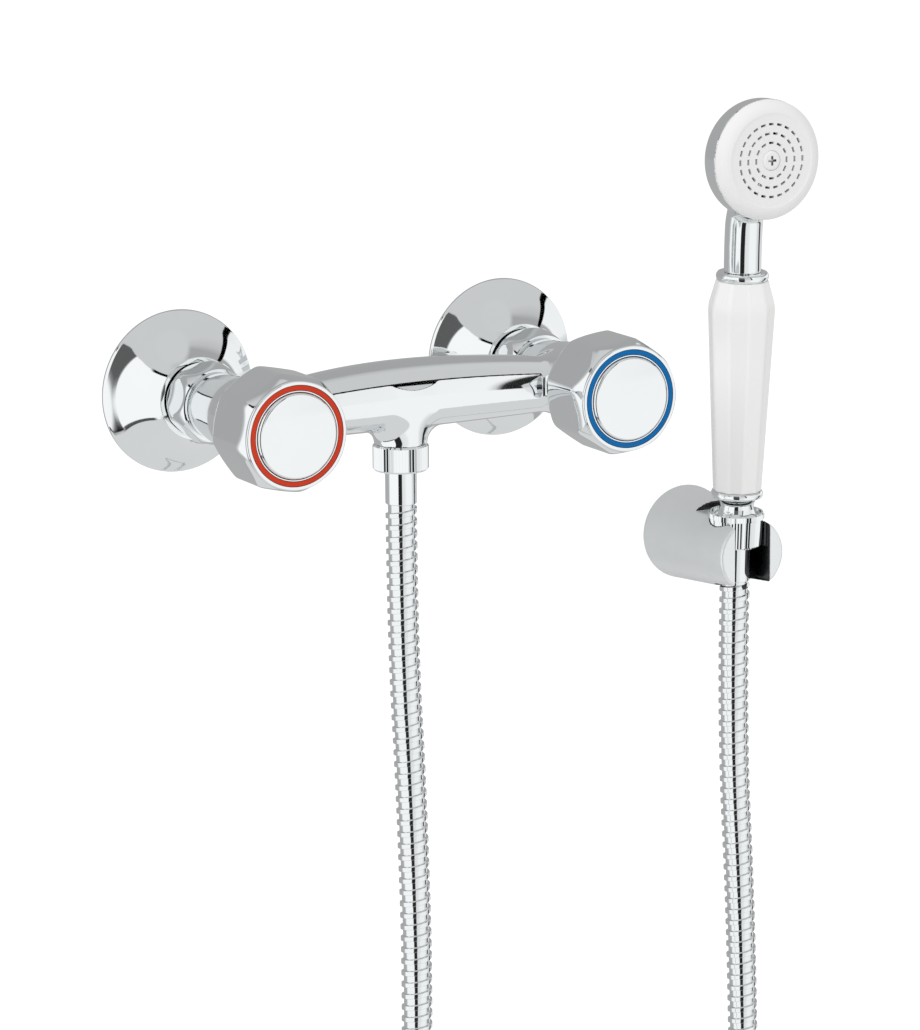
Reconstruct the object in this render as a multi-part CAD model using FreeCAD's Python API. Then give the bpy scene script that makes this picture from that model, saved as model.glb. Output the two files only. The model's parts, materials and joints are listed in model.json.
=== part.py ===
import FreeCAD, Part
import math
import os

V = FreeCAD.Vector

# The frame: the wall is the plane Y = 0, the room is on the -Y side, Z is up.
# The origin lies on the wall, midway between the two water inlets.

# Wall inlets and threads
INLET_SPACING = 150.0
HALF_INCH_R = 10.48
THREE_QUARTER_R = 13.22
THREAD_CLEAR = 0.05

# How far a cutter reaches past the face that it cuts, and how near an edge lies to count as a seam
PAST = 1.0
SEAM_NEAR = 2.0

# Eccentric unions
UNION_OFFSET = 8.0
UNION_TAIL = 16.0
UNION_TAIL_BORE_R = 6.5
UNION_CRANK = 9.0
UNION_FACE = 28.0
UNION_BORE_R = 8.0

# Escutcheons
PLATE_R = 33.6
PLATE_EDGE = 1.2
PLATE_SHOULDER_R = 30.6
PLATE_SHOULDER = 3.4
PLATE_ROUND = 0.03
PLATE_DEPTH = 20.5
PLATE_MOUTH_R = 17.0
PLATE_HOLLOW = 1.2
PLATE_WALL = 1.2
PLATE_HUB = 5.0

# Union nuts, inlet collars and washers
NUT_FLATS = 30.0
NUT_LENGTH = 16.5
NUT_TURN = 16.0
NUT_LIP = 4.5
NUT_FACE_R = 14.9
NUT_CORNER_R = 16.7
WASHER_THICK = 1.5
COLLAR_FLANGE = 4.0
COLLAR_FLANGE_R = 11.9
COLLAR_TUBE_R = 10.0
COLLAR_TUBE = 12.5
COLLAR_BORE_R = 7.0
COLLAR_CLEAR = 0.3

# Mixer body
BOSS_GAP = 0.5
BOSS_BACK_R = 13.5
BOSS_FRONT_R = 17.0
BOSS_FRONT = 77.0
BOSS_EDGE = 1.0
BOSS_EDGE_CUT = 0.3
BAR_OUT = 53.0
BAR_BOW = 15.0
BAR_MID_R = 14.3
BAR_END_R = 9.9
BAR_REACH = 0.9
BAR_SHARES = (0.25, 0.6)
BAR_FILLET = 4.0
SEAT_OUT = 58.0
SEAT_WALL = 2.5
SEAT_BORE_R = 5.5
CHAMBER_R = 9.4
CHAMBER_DEPTH = 10.0
CROSS_BORE_R = 5.0
OUTLET_TOP = 20.3
OUTLET_R = 10.9
OUTLET_FILLET = 6.5
OUTLET_SPIGOT = 6.2
OUTLET_BORE_R = 6.0

# Headworks
HEAD_FLATS = 24.0
HEAD_HEX = 4.0
HEAD_NECK_R = 7.5
HEAD_NECK = 12.0
PISTON_R = 6.9
PISTON_LENGTH = 13.0
PISTON_CLEAR = 0.08
PISTON_BORE_R = 3.55
VALVE_WASHER = 3.5
VALVE_WASHER_R = 6.7
VALVE_LIFT = 5.0
VALVE_STOP = 0.5
STEM_R = 3.45
STEM_DIP = 5.5
SPINDLE_R = 4.0
SPINDLE_COLLAR_R = 6.4
SPINDLE_COLLAR = 2.0
SPINDLE_SQUARE = 6.4
SQUARE_CORNER_R = 4.3
SPINDLE_CLEAR = 0.05
SPINDLE_LAP = 0.1
ORING = 1.8
ORING_STEP = 2.0

# Knobs
KNOB_BACK = 79.5
KNOB_DEPTH = 30.1
KNOB_SIDES = 8
KNOB_FLATS = 45.6
KNOB_CORNER_R = 25.1
KNOB_BACK_R = 21.6
KNOB_FRONT_R = 21.3
KNOB_BACK_CONE = 3.9
KNOB_FRONT_CONE = 6.9
KNOB_LIP = 0.9
KNOB_LIP_R = 0.5
KNOB_CAVITY_R = 18.6
KNOB_HUB_R = 7.5
KNOB_HUB = 8.0
KNOB_WEB = 3.0
KNOB_CAP_R = 17.2
KNOB_CAP_SEAT = 5.0
KNOB_CAP_RISE = 1.2
KNOB_CAP_DOME = 1.0
KNOB_CAP_EDGE = 1.4
KNOB_CAP_WALL = 1.5
RING_OUTER_R = 19.95
RING_INNER_R = 18.1
RING_THICK = 1.6
RING_PROUD = 0.1
FIT_CLEAR = 0.05
HOT_TURN = 10.4
COLD_TURN = 32.3
KNOB_SCREW_R = 1.95
KNOB_SCREW_LENGTH = 9.0
KNOB_SCREW_HEAD_R = 3.6
KNOB_SCREW_HEAD = 2.4
CROSS_LONG = 4.0
CROSS_WIDE = 1.0
CROSS_DEEP = 1.4

# Hose, its nuts, ferrules and washers
HOSE_R = 6.5
HOSE_GROOVE = 0.6
HOSE_BORE_R = 4.6
HOSE_RIBS = 196
HOSE_GROOVE_AT = (0.02, 0.12, 0.38, 0.48)
HOSE_BEND_SHARE = 0.45
HOSE_END_STRAIGHT = 13.0
TAIL_FLANGE_R = 9.8
TAIL_FLANGE = 1.5
TAIL_BORE_R = 4.6
HOSE_WASHER = 2.0
HOSE_WASHER_R = 9.8
HOSE_WASHER_BORE_R = 5.2
HOSE_NUT_R = 11.5
HOSE_NUT_FLOOR = 1.2
HOSE_NUT_TEETH = 56
HOSE_NUT_CHAMFER = 0.8
KNURL_DEPTH = 0.35
OUTLET_FERRULE = 14.1
HOSE_POINTS = [
    (0.0, -53.0, -103.0),
    (2.8, -54.5, -170.0),
    (4.0, -56.5, -265.0),
    (-1.0, -57.0, -375.0),
    (-2.5, -56.0, -469.0),
    (0.5, -54.5, -546.0),
    (31.0, -53.0, -591.0),
    (83.0, -51.0, -609.0),
    (136.0, -49.0, -592.0),
    (167.5, -47.5, -547.5),
    (171.5, -46.5, -464.0),
    (171.8, -45.0, -356.0),
    (170.6, -43.5, -254.0),
]
HOSE_LEAD = 62.6

# Wall bracket
BRACKET_X = 165.5
BRACKET_Z = -85.2
BRACKET_LENGTH = 59.0
BRACKET_BACK_R = 20.5
BRACKET_FRONT_R = 15.5
BRACKET_BACK_EDGE = 4.0
BRACKET_FRONT_EDGE = 1.2
SEAT_RISE = 14.2
SEAT_STEP = 29.0
SLOT_WIDTH = 17.2
WALL_PLATE_R = 14.0
WALL_PLATE = 7.0
WALL_PLATE_CLEAR = 0.2
WALL_SCREW_SPACING = 16.0
WALL_HOLE_R = 2.25
WALL_COUNTERSINK_R = 4.2
GRUB_R = 2.5
GRUB_LENGTH = 6.0
GRUB_SOCKET_R = 1.25
GRUB_SOCKET = 2.0

# Handset, along its own leaning axis from the bracket's seat
HANDSET_OUT = 45.7
HANDSET_LEAN = 2.0
CONE_FLANGE = 2.8
CONE_FLANGE_R = 11.9
CONE_TOP_R = 11.5
CONE_BOTTOM_R = 11.0
CONE_DEPTH = 12.0
CONE_FLOOR = 2.5
CONE_TEETH = 56
CONE_CLEAR = 0.2
CONE_MOUTH = 0.5
CONE_CHAMFER = 0.6
HANDSET_FERRULE = 15.5
NIPPLE_THREAD = 7.0
NIPPLE_CHAMFER = 1.0
NIPPLE_WAIST_R = 7.3
NIPPLE_WAIST_TOP = 9.2
NIPPLE_COLLAR = 3.0
NIPPLE_COLLAR_R = 11.1
NIPPLE_COLLAR_ROUND = 0.6
NIPPLE_FLARE = 1.0
NIPPLE_STUB_R = 8.0
NIPPLE_STUB = 14.0
GRIP_LENGTH = 91.0
GRIP_SIDES = 10
GRIP_BOTTOM_R = 10.0
GRIP_WIDE_R = 13.75
GRIP_TOP_R = 10.8
GRIP_WIDE_AT = 80.0
GRIP_EDGE = 0.35
GRIP_SHOULDER = 2.5
GRIP_CROWN = 0.5
GRIP_BORE_R = 8.1
UPPER_COLLAR = 3.6
UPPER_COLLAR_R = 11.2
UPPER_COLLAR_ROUND = 0.8
TUBE_R = 6.0
TUBE_BORE_R = 4.5
TUBE_SINK = 10.0
TUBE_ORING = 1.2
TUBE_ORING_HIGH = 1.7
TUBE_ORING_DEEP = 5.0
HEAD_RISE = 156.2
HEAD_FORWARD = 16.5
HEAD_R = 25.3
HEAD_SIDE = 7.4
HEAD_DOME = 13.5
HEAD_CROWN_R = 4.6
HEAD_WALL = 2.0
HEAD_FILLET = 5.0
NECK_CURVE = ((36.0, 0.0, 0.0), (27.0, 0.6, 0.0), (17.0, 3.6, 0.3), (7.0, 7.6, 1.4))
FACE_TILT = 3.0
NECK_R = 7.9
NECK_BORE_R = 4.8
NECK_BORE_RISE = 6.0
SPRAY_R = 25.1
SPRAY_RIM = 1.0
SPRAY_RIDGE_R = 19.8
SPRAY_RIDGE = 4.4
SPRAY_RIDGE_WIDE = 1.0
SPRAY_GROOVE = 0.3
SPRAY_THICK = 2.2
SPRAY_SHOULDER = 0.6
SPRAY_SKIRT_R = 23.0
SPRAY_SKIRT_WALL = 2.0
SPRAY_SKIRT = 3.5
SPRAY_SLOTS = ((15.2, 24), (11.3, 18), (7.4, 12))
SLOT_LONG = 2.2
SLOT_SHORT = 0.75
SPRAY_SCREW_R = 1.9
SPRAY_SCREW_HEAD_R = 4.2
SPRAY_SCREW_HEAD = 2.0
SPRAY_SCREW_PROUD = 0.5
SPRAY_SCREW_ROUND = 1.0
SPRAY_SCREW_LENGTH = 9.0
SPRAY_SCREW_GAP = 1.0
POST_R = 4.2
SEAL_R = 0.9
SEAL_INSET = 0.2


def at_side(x):
    """Placement of a water inlet: its own Z runs out of the wall."""
    return FreeCAD.Placement(V(x, 0, 0), FreeCAD.Rotation(V(1, 0, 0), 90))


def at_bracket():
    """Placement of the bracket's axis."""
    return FreeCAD.Placement(V(BRACKET_X, 0, BRACKET_Z), FreeCAD.Rotation(V(1, 0, 0), 90))


def at_outlet():
    """Placement of the outlet's axis: its own Z runs up."""
    return FreeCAD.Placement(V(0, -BAR_OUT, 0), FreeCAD.Rotation())


def at_handset():
    """Placement of the handset's axis, from the middle of the bracket's seat."""
    seat = V(BRACKET_X, -HANDSET_OUT, BRACKET_Z + SEAT_RISE)
    return FreeCAD.Placement(seat, FreeCAD.Rotation(V(1, 0, 0), HANDSET_LEAN))


def at_head():
    """Placement of the spray head's axis inside the handset's own frame."""
    return FreeCAD.Placement(V(0, 0, HEAD_RISE), FreeCAD.Rotation(V(1, 0, 0), 90 - FACE_TILT))


def placed(shape, *placements):
    """The shape moved through each placement in turn."""
    moved = shape.copy()
    for placement in placements:
        moved.transformShape(placement.toMatrix(), True)
    return moved


def turned(points):
    """Solid turned about Z from (radius, height) points; (r, h, mr, mh) is an arc through (mr, mh)."""
    edges = []
    start = V(points[0][0], 0, points[0][1])
    first = start
    for point in points[1:]:
        end = V(point[0], 0, point[1])
        if len(point) == 4:
            middle = V(point[2], 0, point[3])
            edges.append(Part.Arc(start, middle, end).toShape())
        else:
            edges.append(Part.makeLine(start, end))
        start = end
    edges.append(Part.makeLine(start, first))
    face = Part.Face(Part.Wire(edges))
    return face.revolve(V(0, 0, 0), V(0, 0, 1), 360)


def rod(radius, low, high):
    """Cylinder about Z between two heights."""
    return Part.makeCylinder(radius, high - low, V(0, 0, low))


def ring(outer, inner, low, high):
    """Plain ring about Z."""
    return rod(outer, low, high).cut(rod(inner, low - PAST, high + PAST))


def polygon(sides, radius, height, turn=0.0):
    """Closed regular polygon wire at a height."""
    points = []
    for i in range(sides + 1):
        angle = math.radians(turn + 360.0 * i / sides)
        points.append(V(radius * math.cos(angle), radius * math.sin(angle), height))
    return Part.makePolygon(points)


def hexagon(flats, low, high, turn=0.0):
    """Hexagonal bar about Z, given across its flats."""
    wire = polygon(6, flats / 2 / math.cos(math.pi / 6), low, turn)
    return Part.Face(wire).extrude(V(0, 0, high - low))


def corner_cut(edge):
    """How far from a square corner's faces the middle of its rounding lies."""
    return edge * (1 - math.sqrt(0.5))


def knurl(teeth, radius, height):
    """Closed toothed wire whose tips lie at the radius."""
    points = []
    for i in range(2 * teeth):
        angle = math.pi * i / teeth
        reach = radius - KNURL_DEPTH * (i % 2)
        points.append(V(reach * math.cos(angle), reach * math.sin(angle), height))
    points.append(points[0])
    return Part.makePolygon(points)


def knurled(teeth, low_radius, high_radius, low, high):
    """Knurled, possibly tapered bar about Z."""
    return Part.makeLoft([knurl(teeth, low_radius, low), knurl(teeth, high_radius, high)], True, True)


def eccentric_union():
    """Cranked union: half-inch tail in the wall, three-quarter-inch thread in the room."""
    tail = Part.makeCylinder(HALF_INCH_R, UNION_TAIL, V(0, UNION_OFFSET, -UNION_TAIL))
    crank = Part.makeLoft([circle_wire(HALF_INCH_R, UNION_OFFSET, 0),
                           circle_wire(THREE_QUARTER_R, 0, UNION_CRANK)], True, True)
    thread = rod(THREE_QUARTER_R, UNION_CRANK, UNION_FACE)
    outside = tail.fuse([crank, thread])
    tail_bore = Part.makeCylinder(UNION_TAIL_BORE_R, UNION_TAIL + PAST,
                                  V(0, UNION_OFFSET, -UNION_TAIL - PAST))
    crank_bore = Part.makeLoft([circle_wire(UNION_TAIL_BORE_R, UNION_OFFSET, 0),
                                circle_wire(UNION_BORE_R, 0, UNION_CRANK)], True, True)
    bore = rod(UNION_BORE_R, UNION_CRANK, UNION_FACE + PAST)
    return outside.cut(tail_bore.fuse([crank_bore, bore]))


def circle_wire(radius, offset, height):
    """Circle wire about a point shifted along Y."""
    return Part.Wire(Part.makeCircle(radius, V(0, offset, height), V(0, 0, 1)))


def escutcheon():
    """Bell-shaped cover, screwed on the union by its hub."""
    hub_back = PLATE_DEPTH - PLATE_HUB
    round_r = (PLATE_R + PLATE_SHOULDER_R) / 2 + PLATE_ROUND
    round_out = (PLATE_EDGE + PLATE_SHOULDER) / 2 + PLATE_ROUND
    flare_r = (PLATE_SHOULDER_R + PLATE_MOUTH_R) / 2 - PLATE_HOLLOW
    flare_out = (PLATE_SHOULDER + PLATE_DEPTH) / 2 - PLATE_HOLLOW
    thin = PLATE_WALL / math.sqrt(2)
    return turned([
        (PLATE_R - PLATE_WALL, 0),
        (PLATE_R, 0),
        (PLATE_R, PLATE_EDGE),
        (PLATE_SHOULDER_R, PLATE_SHOULDER, round_r, round_out),
        (PLATE_MOUTH_R, PLATE_DEPTH, flare_r, flare_out),
        (THREE_QUARTER_R + THREAD_CLEAR, PLATE_DEPTH),
        (THREE_QUARTER_R + THREAD_CLEAR, hub_back),
        (PLATE_MOUTH_R - PLATE_WALL, hub_back),
        (PLATE_SHOULDER_R - thin, PLATE_SHOULDER - thin, flare_r - thin, flare_out - thin),
        (PLATE_R - PLATE_WALL, PLATE_EDGE - PLATE_WALL / 2, round_r - thin, round_out - thin),
    ])


def union_nut():
    """Hexagonal nut with rounded corners and a lip that pulls on the inlet collar."""
    front = nut_front()
    back = front - NUT_LENGTH
    nut_bar = hexagon(NUT_FLATS, back, front, NUT_TURN)
    envelope = turned([
        (0, back),
        (NUT_FACE_R, back),
        (NUT_FACE_R, front, NUT_CORNER_R, (back + front) / 2),
        (0, front),
    ])
    bore = rod(THREE_QUARTER_R + THREAD_CLEAR, back - PAST, front - NUT_LIP)
    mouth = rod(COLLAR_TUBE_R + COLLAR_CLEAR, front - NUT_LIP - PAST, front + PAST)
    return nut_bar.common(envelope).cut(bore.fuse(mouth))


def collar_back():
    """Distance from the wall of the collar flange's sealing face."""
    return UNION_FACE + WASHER_THICK


def nut_front():
    """Distance from the wall of the union nut's front face."""
    return collar_lip() + NUT_LIP


def collar_lip():
    """Distance from the wall of the collar flange's front, where the nut pulls."""
    return collar_back() + COLLAR_FLANGE


def inlet_washer():
    """Flat washer between the union's end and the inlet collar."""
    return ring(COLLAR_FLANGE_R - COLLAR_CLEAR, COLLAR_BORE_R, UNION_FACE, collar_back())


def inlet_collar():
    """Flanged tube screwed into the body, which keeps the union nut captive."""
    back = collar_back()
    lip = collar_lip()
    tube_end = nut_front() + BOSS_GAP + COLLAR_TUBE
    flange = rod(COLLAR_FLANGE_R, back, lip)
    tube = rod(COLLAR_TUBE_R, lip, tube_end)
    return flange.fuse(tube).cut(rod(COLLAR_BORE_R, back - PAST, tube_end + PAST)).removeSplitter()


def boss_outside():
    """Outside of one end boss, widening towards the knob."""
    back = nut_front() + BOSS_GAP
    return turned([
        (0, back),
        (BOSS_BACK_R - BOSS_EDGE, back),
        (BOSS_BACK_R, back + BOSS_EDGE, BOSS_BACK_R - BOSS_EDGE_CUT, back + BOSS_EDGE_CUT),
        (BOSS_FRONT_R, BOSS_FRONT - BOSS_EDGE),
        (BOSS_FRONT_R - BOSS_EDGE, BOSS_FRONT, BOSS_FRONT_R - BOSS_EDGE_CUT, BOSS_FRONT - BOSS_EDGE_CUT),
        (0, BOSS_FRONT),
    ])


def boss_inside():
    """Waterway and threads inside one end boss."""
    back = nut_front() + BOSS_GAP
    collar_end = back + COLLAR_TUBE
    seat_back = SEAT_OUT - SEAT_WALL
    thread_start = SEAT_OUT + CHAMBER_DEPTH
    return turned([
        (0, back - PAST),
        (COLLAR_TUBE_R + THREAD_CLEAR, back - PAST),
        (COLLAR_TUBE_R + THREAD_CLEAR, collar_end),
        (COLLAR_BORE_R, collar_end),
        (COLLAR_BORE_R, seat_back),
        (SEAT_BORE_R, seat_back),
        (SEAT_BORE_R, SEAT_OUT),
        (CHAMBER_R, SEAT_OUT),
        (CHAMBER_R, thread_start),
        (HALF_INCH_R + THREAD_CLEAR, thread_start),
        (HALF_INCH_R + THREAD_CLEAR, BOSS_FRONT + PAST),
        (0, BOSS_FRONT + PAST),
    ])


def bar_section(share):
    """Centre and radius of the bar at a share of the half spacing, -1 to 1."""
    bow = BAR_BOW * share * share
    radius = BAR_MID_R - (BAR_MID_R - BAR_END_R) * share * share
    return V(share * INLET_SPACING / 2, -BAR_OUT - bow, 0), radius


def bar():
    """Bowed bar between the bosses."""
    wires = []
    half = BAR_SHARES + (BAR_REACH,)
    for share in [-share for share in reversed(half)] + list(half):
        centre, radius = bar_section(share)
        wires.append(Part.Wire(Part.makeCircle(radius, centre, V(1, 0, 0))))
    return Part.makeLoft(wires, True, False)


def middle_of(edge):
    """Point halfway along an edge."""
    return edge.valueAt((edge.FirstParameter + edge.LastParameter) / 2)


def curved_edges(shape):
    """Edges where two curved outsides meet."""
    return [edge for edge in shape.Edges
            if not edge.Degenerated and type(edge.Curve) is Part.BSplineCurve]


def reach_of(edge):
    """Greatest distance of an edge from the middle plane."""
    return max(abs(edge.BoundBox.XMin), abs(edge.BoundBox.XMax))


def body_outside():
    """Bar, bosses and outlet as one casting with soft inner corners."""
    bosses = [placed(boss_outside(), at_side(side * INLET_SPACING / 2)) for side in (-1, 1)]
    outlet = placed(rod(OUTLET_R, -OUTLET_TOP, 0), at_outlet())
    casting = bar().fuse(bosses + [outlet]).removeSplitter()
    boss_near = INLET_SPACING / 2 - BOSS_FRONT_R - SEAM_NEAR
    boss_seams = [edge for edge in curved_edges(casting) if abs(middle_of(edge).x) > boss_near]
    casting = casting.makeFillet(BAR_FILLET, boss_seams)
    outlet_seams = [edge for edge in curved_edges(casting) if reach_of(edge) < OUTLET_R + SEAM_NEAR]
    return casting.makeFillet(OUTLET_FILLET, outlet_seams)


def mixer_body():
    """The casting with its waterways, valve seats and the outlet spigot."""
    spigot_r = HALF_INCH_R - THREAD_CLEAR
    spigot_end = -OUTLET_TOP - OUTLET_SPIGOT
    spigot = placed(rod(spigot_r, spigot_end, -OUTLET_TOP), at_outlet())
    cutters = [placed(boss_inside(), at_side(side * INLET_SPACING / 2)) for side in (-1, 1)]
    cutters.append(placed(rod(OUTLET_BORE_R, spigot_end - PAST, 0), at_outlet()))
    middle = V(0, -BAR_OUT, 0)
    for side in (-1, 1):
        chamber = V(side * INLET_SPACING / 2, -SEAT_OUT - CHAMBER_DEPTH / 2, 0)
        way = chamber - middle
        cutters.append(Part.makeCylinder(CROSS_BORE_R, way.Length, middle, way))
    return body_outside().fuse(spigot).cut(cutters[0].fuse(cutters[1:])).removeSplitter()


def headwork_body():
    """Threaded bush with a hexagon and a neck, which guides the spindle and the piston."""
    thread_start = SEAT_OUT + CHAMBER_DEPTH
    hex_front = BOSS_FRONT + HEAD_HEX
    neck_end = hex_front + HEAD_NECK
    outside = rod(HALF_INCH_R, thread_start, BOSS_FRONT).fuse([
        hexagon(HEAD_FLATS, BOSS_FRONT, hex_front), rod(HEAD_NECK_R, hex_front, neck_end)])
    groove = ring(SPINDLE_R + ORING, SPINDLE_R, oring_low(), oring_low() + ORING)
    inside = rod(PISTON_R + PISTON_CLEAR, thread_start - PAST, chamber_end()).fuse([
        rod(SPINDLE_COLLAR_R + SPINDLE_CLEAR, chamber_end() - PAST, collar_end()),
        rod(SPINDLE_R + SPINDLE_CLEAR, collar_end() - PAST, neck_end + PAST), groove])
    return outside.cut(inside).removeSplitter()


def piston_back():
    """Distance from the wall of the piston's back face, with the valve shut."""
    return SEAT_OUT + VALVE_WASHER


def piston_front():
    """Distance from the wall of the piston's front face, with the valve shut."""
    return piston_back() + PISTON_LENGTH


def chamber_end():
    """Height of the piston chamber's end, where the open piston stops."""
    return piston_front() + VALVE_LIFT + VALVE_STOP


def collar_end():
    """Distance from the wall of the shoulder that holds the spindle's collar."""
    return chamber_end() + SPINDLE_COLLAR


def oring_low():
    """Distance from the wall of the spindle O-ring's groove."""
    return collar_end() + ORING_STEP


def valve_washer():
    """Rubber disc that closes the seat."""
    return rod(VALVE_WASHER_R, SEAT_OUT, piston_back())


def valve_piston():
    """Piston that carries the rubber disc and rides on the spindle's thread."""
    bore_low = piston_front() - STEM_DIP - VALVE_LIFT
    return rod(PISTON_R, piston_back(), piston_front()).cut(
        rod(PISTON_BORE_R, bore_low, piston_front() + PAST))


def spindle():
    """Threaded stem, collar, round shaft and square end, tapped for the knob's screw."""
    stem_low = piston_front() - STEM_DIP + SPINDLE_CLEAR
    square_low = knob_web_front() - KNOB_HUB
    tip = knob_web_front()
    solid = rod(STEM_R, stem_low, chamber_end() + 2 * SPINDLE_LAP).fuse([
        rod(SPINDLE_COLLAR_R, chamber_end() + SPINDLE_LAP, collar_end() - SPINDLE_CLEAR),
        rod(SPINDLE_R, collar_end() - 2 * SPINDLE_LAP, square_low),
        rounded_square(SPINDLE_SQUARE / 2, SQUARE_CORNER_R, square_low, tip)])
    return solid.cut(rod(KNOB_SCREW_R, tip - KNOB_SCREW_LENGTH - PAST, tip + PAST))


def rounded_square(half, corner_r, low, high):
    """Square bar about Z whose corners are turned down to a radius."""
    square = Part.makeBox(2 * half, 2 * half, high - low, V(-half, -half, low))
    return square.common(rod(corner_r, low, high))


def spindle_oring():
    """O-ring that seals the spindle in the headwork's neck."""
    return ring(SPINDLE_R + ORING - SPINDLE_CLEAR, SPINDLE_R + SPINDLE_CLEAR,
                oring_low() + SPINDLE_CLEAR, oring_low() + ORING - SPINDLE_CLEAR)


def knob_front():
    """Distance from the wall of the knob's front rim."""
    return KNOB_BACK + KNOB_DEPTH


def knob_web_front():
    """Floor of the recess that takes the cap."""
    return knob_front() - KNOB_CAP_SEAT


def knob(turn):
    """Eight-sided knob, coned at both ends, hollow behind, with a recess for ring and cap."""
    back = KNOB_BACK
    front = knob_front()
    prism_r = KNOB_FLATS / 2 / math.cos(math.pi / KNOB_SIDES)
    prism = Part.Face(polygon(KNOB_SIDES, prism_r, back, turn)).extrude(V(0, 0, front - back))
    envelope = turned([
        (0, back),
        (KNOB_BACK_R, back),
        (KNOB_CORNER_R, back + KNOB_BACK_CONE),
        (KNOB_CORNER_R, front - KNOB_FRONT_CONE),
        (KNOB_FRONT_R + KNOB_LIP_R, front - KNOB_LIP),
        (KNOB_FRONT_R - KNOB_LIP_R, front,
         KNOB_FRONT_R + KNOB_LIP_R - corner_cut(2 * KNOB_LIP_R), front - corner_cut(KNOB_LIP)),
        (0, front),
    ])
    web_front = knob_web_front()
    web_back = web_front - KNOB_WEB
    hub_back = web_front - KNOB_HUB
    cavity = ring(KNOB_CAVITY_R, KNOB_HUB_R, hub_back, web_back).fuse(
        rod(KNOB_CAVITY_R, back - PAST, hub_back))
    cap_recess = rod(KNOB_CAP_R + FIT_CLEAR, web_front, front + PAST)
    ring_recess = ring(RING_OUTER_R + FIT_CLEAR, RING_INNER_R - FIT_CLEAR, front - RING_THICK, front + PAST)
    hole = rounded_square(SPINDLE_SQUARE / 2 + FIT_CLEAR, SQUARE_CORNER_R + FIT_CLEAR,
                          hub_back - PAST, web_front + PAST)
    return prism.common(envelope).cut(cavity.fuse([cap_recess, ring_recess, hole])).removeSplitter()


def index_ring():
    """Coloured ring set into the knob's front."""
    return ring(RING_OUTER_R, RING_INNER_R, knob_front() - RING_THICK, knob_front() + RING_PROUD)


def knob_cap():
    """Domed cap with a skirt, over the knob's screw."""
    low = knob_web_front()
    rim = knob_front() + KNOB_CAP_RISE
    edge = KNOB_CAP_EDGE
    dome_r = KNOB_CAP_R - edge
    rounding = corner_cut(edge)
    inner_r = KNOB_CAP_R - KNOB_CAP_WALL
    return turned([
        (inner_r, low),
        (KNOB_CAP_R, low),
        (KNOB_CAP_R, rim - edge),
        (dome_r, rim, KNOB_CAP_R - rounding, rim - rounding),
        (0, rim + KNOB_CAP_DOME, dome_r / 2, rim + crown(dome_r, KNOB_CAP_DOME, dome_r / 2)),
        (0, rim + KNOB_CAP_DOME - KNOB_CAP_WALL),
        (inner_r, rim - KNOB_CAP_WALL),
    ])


def crown(radius, rise, at):
    """Height of a shallow spherical crown above its rim, at a radius."""
    ball = (radius * radius + rise * rise) / (2 * rise)
    return math.sqrt(ball * ball - at * at) - (ball - rise)


def knob_screw():
    """Pan-head screw that holds the knob on the spindle."""
    web = knob_web_front()
    shank = rod(KNOB_SCREW_R - FIT_CLEAR, web - KNOB_SCREW_LENGTH, web)
    head = rod(KNOB_SCREW_HEAD_R, web, web + KNOB_SCREW_HEAD)
    return shank.fuse(head).cut(cross_recess(web + KNOB_SCREW_HEAD)).removeSplitter()


def cross_recess(top):
    """Cross-shaped driver recess, cut down from a screw's top."""
    low = top - CROSS_DEEP
    bar_x = Part.makeBox(CROSS_LONG, CROSS_WIDE, CROSS_DEEP + PAST, V(-CROSS_LONG / 2, -CROSS_WIDE / 2, low))
    bar_y = Part.makeBox(CROSS_WIDE, CROSS_LONG, CROSS_DEEP + PAST, V(-CROSS_WIDE / 2, -CROSS_LONG / 2, low))
    return bar_x.fuse(bar_y)


def hose_nut():
    """Knurled round nut at the mixer's outlet."""
    top = -OUTLET_TOP
    low = hose_nut_low()
    body = knurled(HOSE_NUT_TEETH, HOSE_NUT_R, HOSE_NUT_R, low, top)
    edge = turned([
        (0, low),
        (HOSE_NUT_R - HOSE_NUT_CHAMFER, low),
        (HOSE_NUT_R, low + HOSE_NUT_CHAMFER),
        (HOSE_NUT_R, top - HOSE_NUT_CHAMFER),
        (HOSE_NUT_R - HOSE_NUT_CHAMFER, top),
        (0, top),
    ])
    bore = rod(HALF_INCH_R, low + HOSE_NUT_FLOOR, top + PAST)
    mouth = rod(HOSE_R + FIT_CLEAR, low - PAST, low + HOSE_NUT_FLOOR + PAST)
    return body.common(edge).cut(bore.fuse(mouth)).removeSplitter()


def outlet_seal_low():
    """Height of the underside of the washer at the outlet, about the outlet's axis."""
    return -OUTLET_TOP - OUTLET_SPIGOT - HOSE_WASHER


def hose_nut_low():
    """Height of the underside of the nut at the outlet."""
    return outlet_seal_low() - TAIL_FLANGE - HOSE_NUT_FLOOR


def tail(flange_top, length):
    """Hose end: a flange held by the nut, and the ferrule that grips the hose."""
    flange = rod(TAIL_FLANGE_R, flange_top - TAIL_FLANGE, flange_top)
    ferrule = rod(HOSE_R, flange_top - length, flange_top - TAIL_FLANGE)
    bore = rod(TAIL_BORE_R, flange_top - length - PAST, flange_top + PAST)
    return flange.fuse(ferrule).cut(bore).removeSplitter()


def outlet_tail_length():
    """Length of the hose end at the outlet."""
    return TAIL_FLANGE + HOSE_NUT_FLOOR + OUTLET_FERRULE


def handset_tail_length():
    """Length of the hose end at the handset."""
    return TAIL_FLANGE + CONE_FLOOR + HANDSET_FERRULE


def cone_seal_low():
    """Height of the underside of the washer in the cone nut."""
    return CONE_FLOOR - CONE_DEPTH + TAIL_FLANGE


def nipple_low():
    """Height of the nipple's sealing end."""
    return cone_seal_low() + HOSE_WASHER


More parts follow.
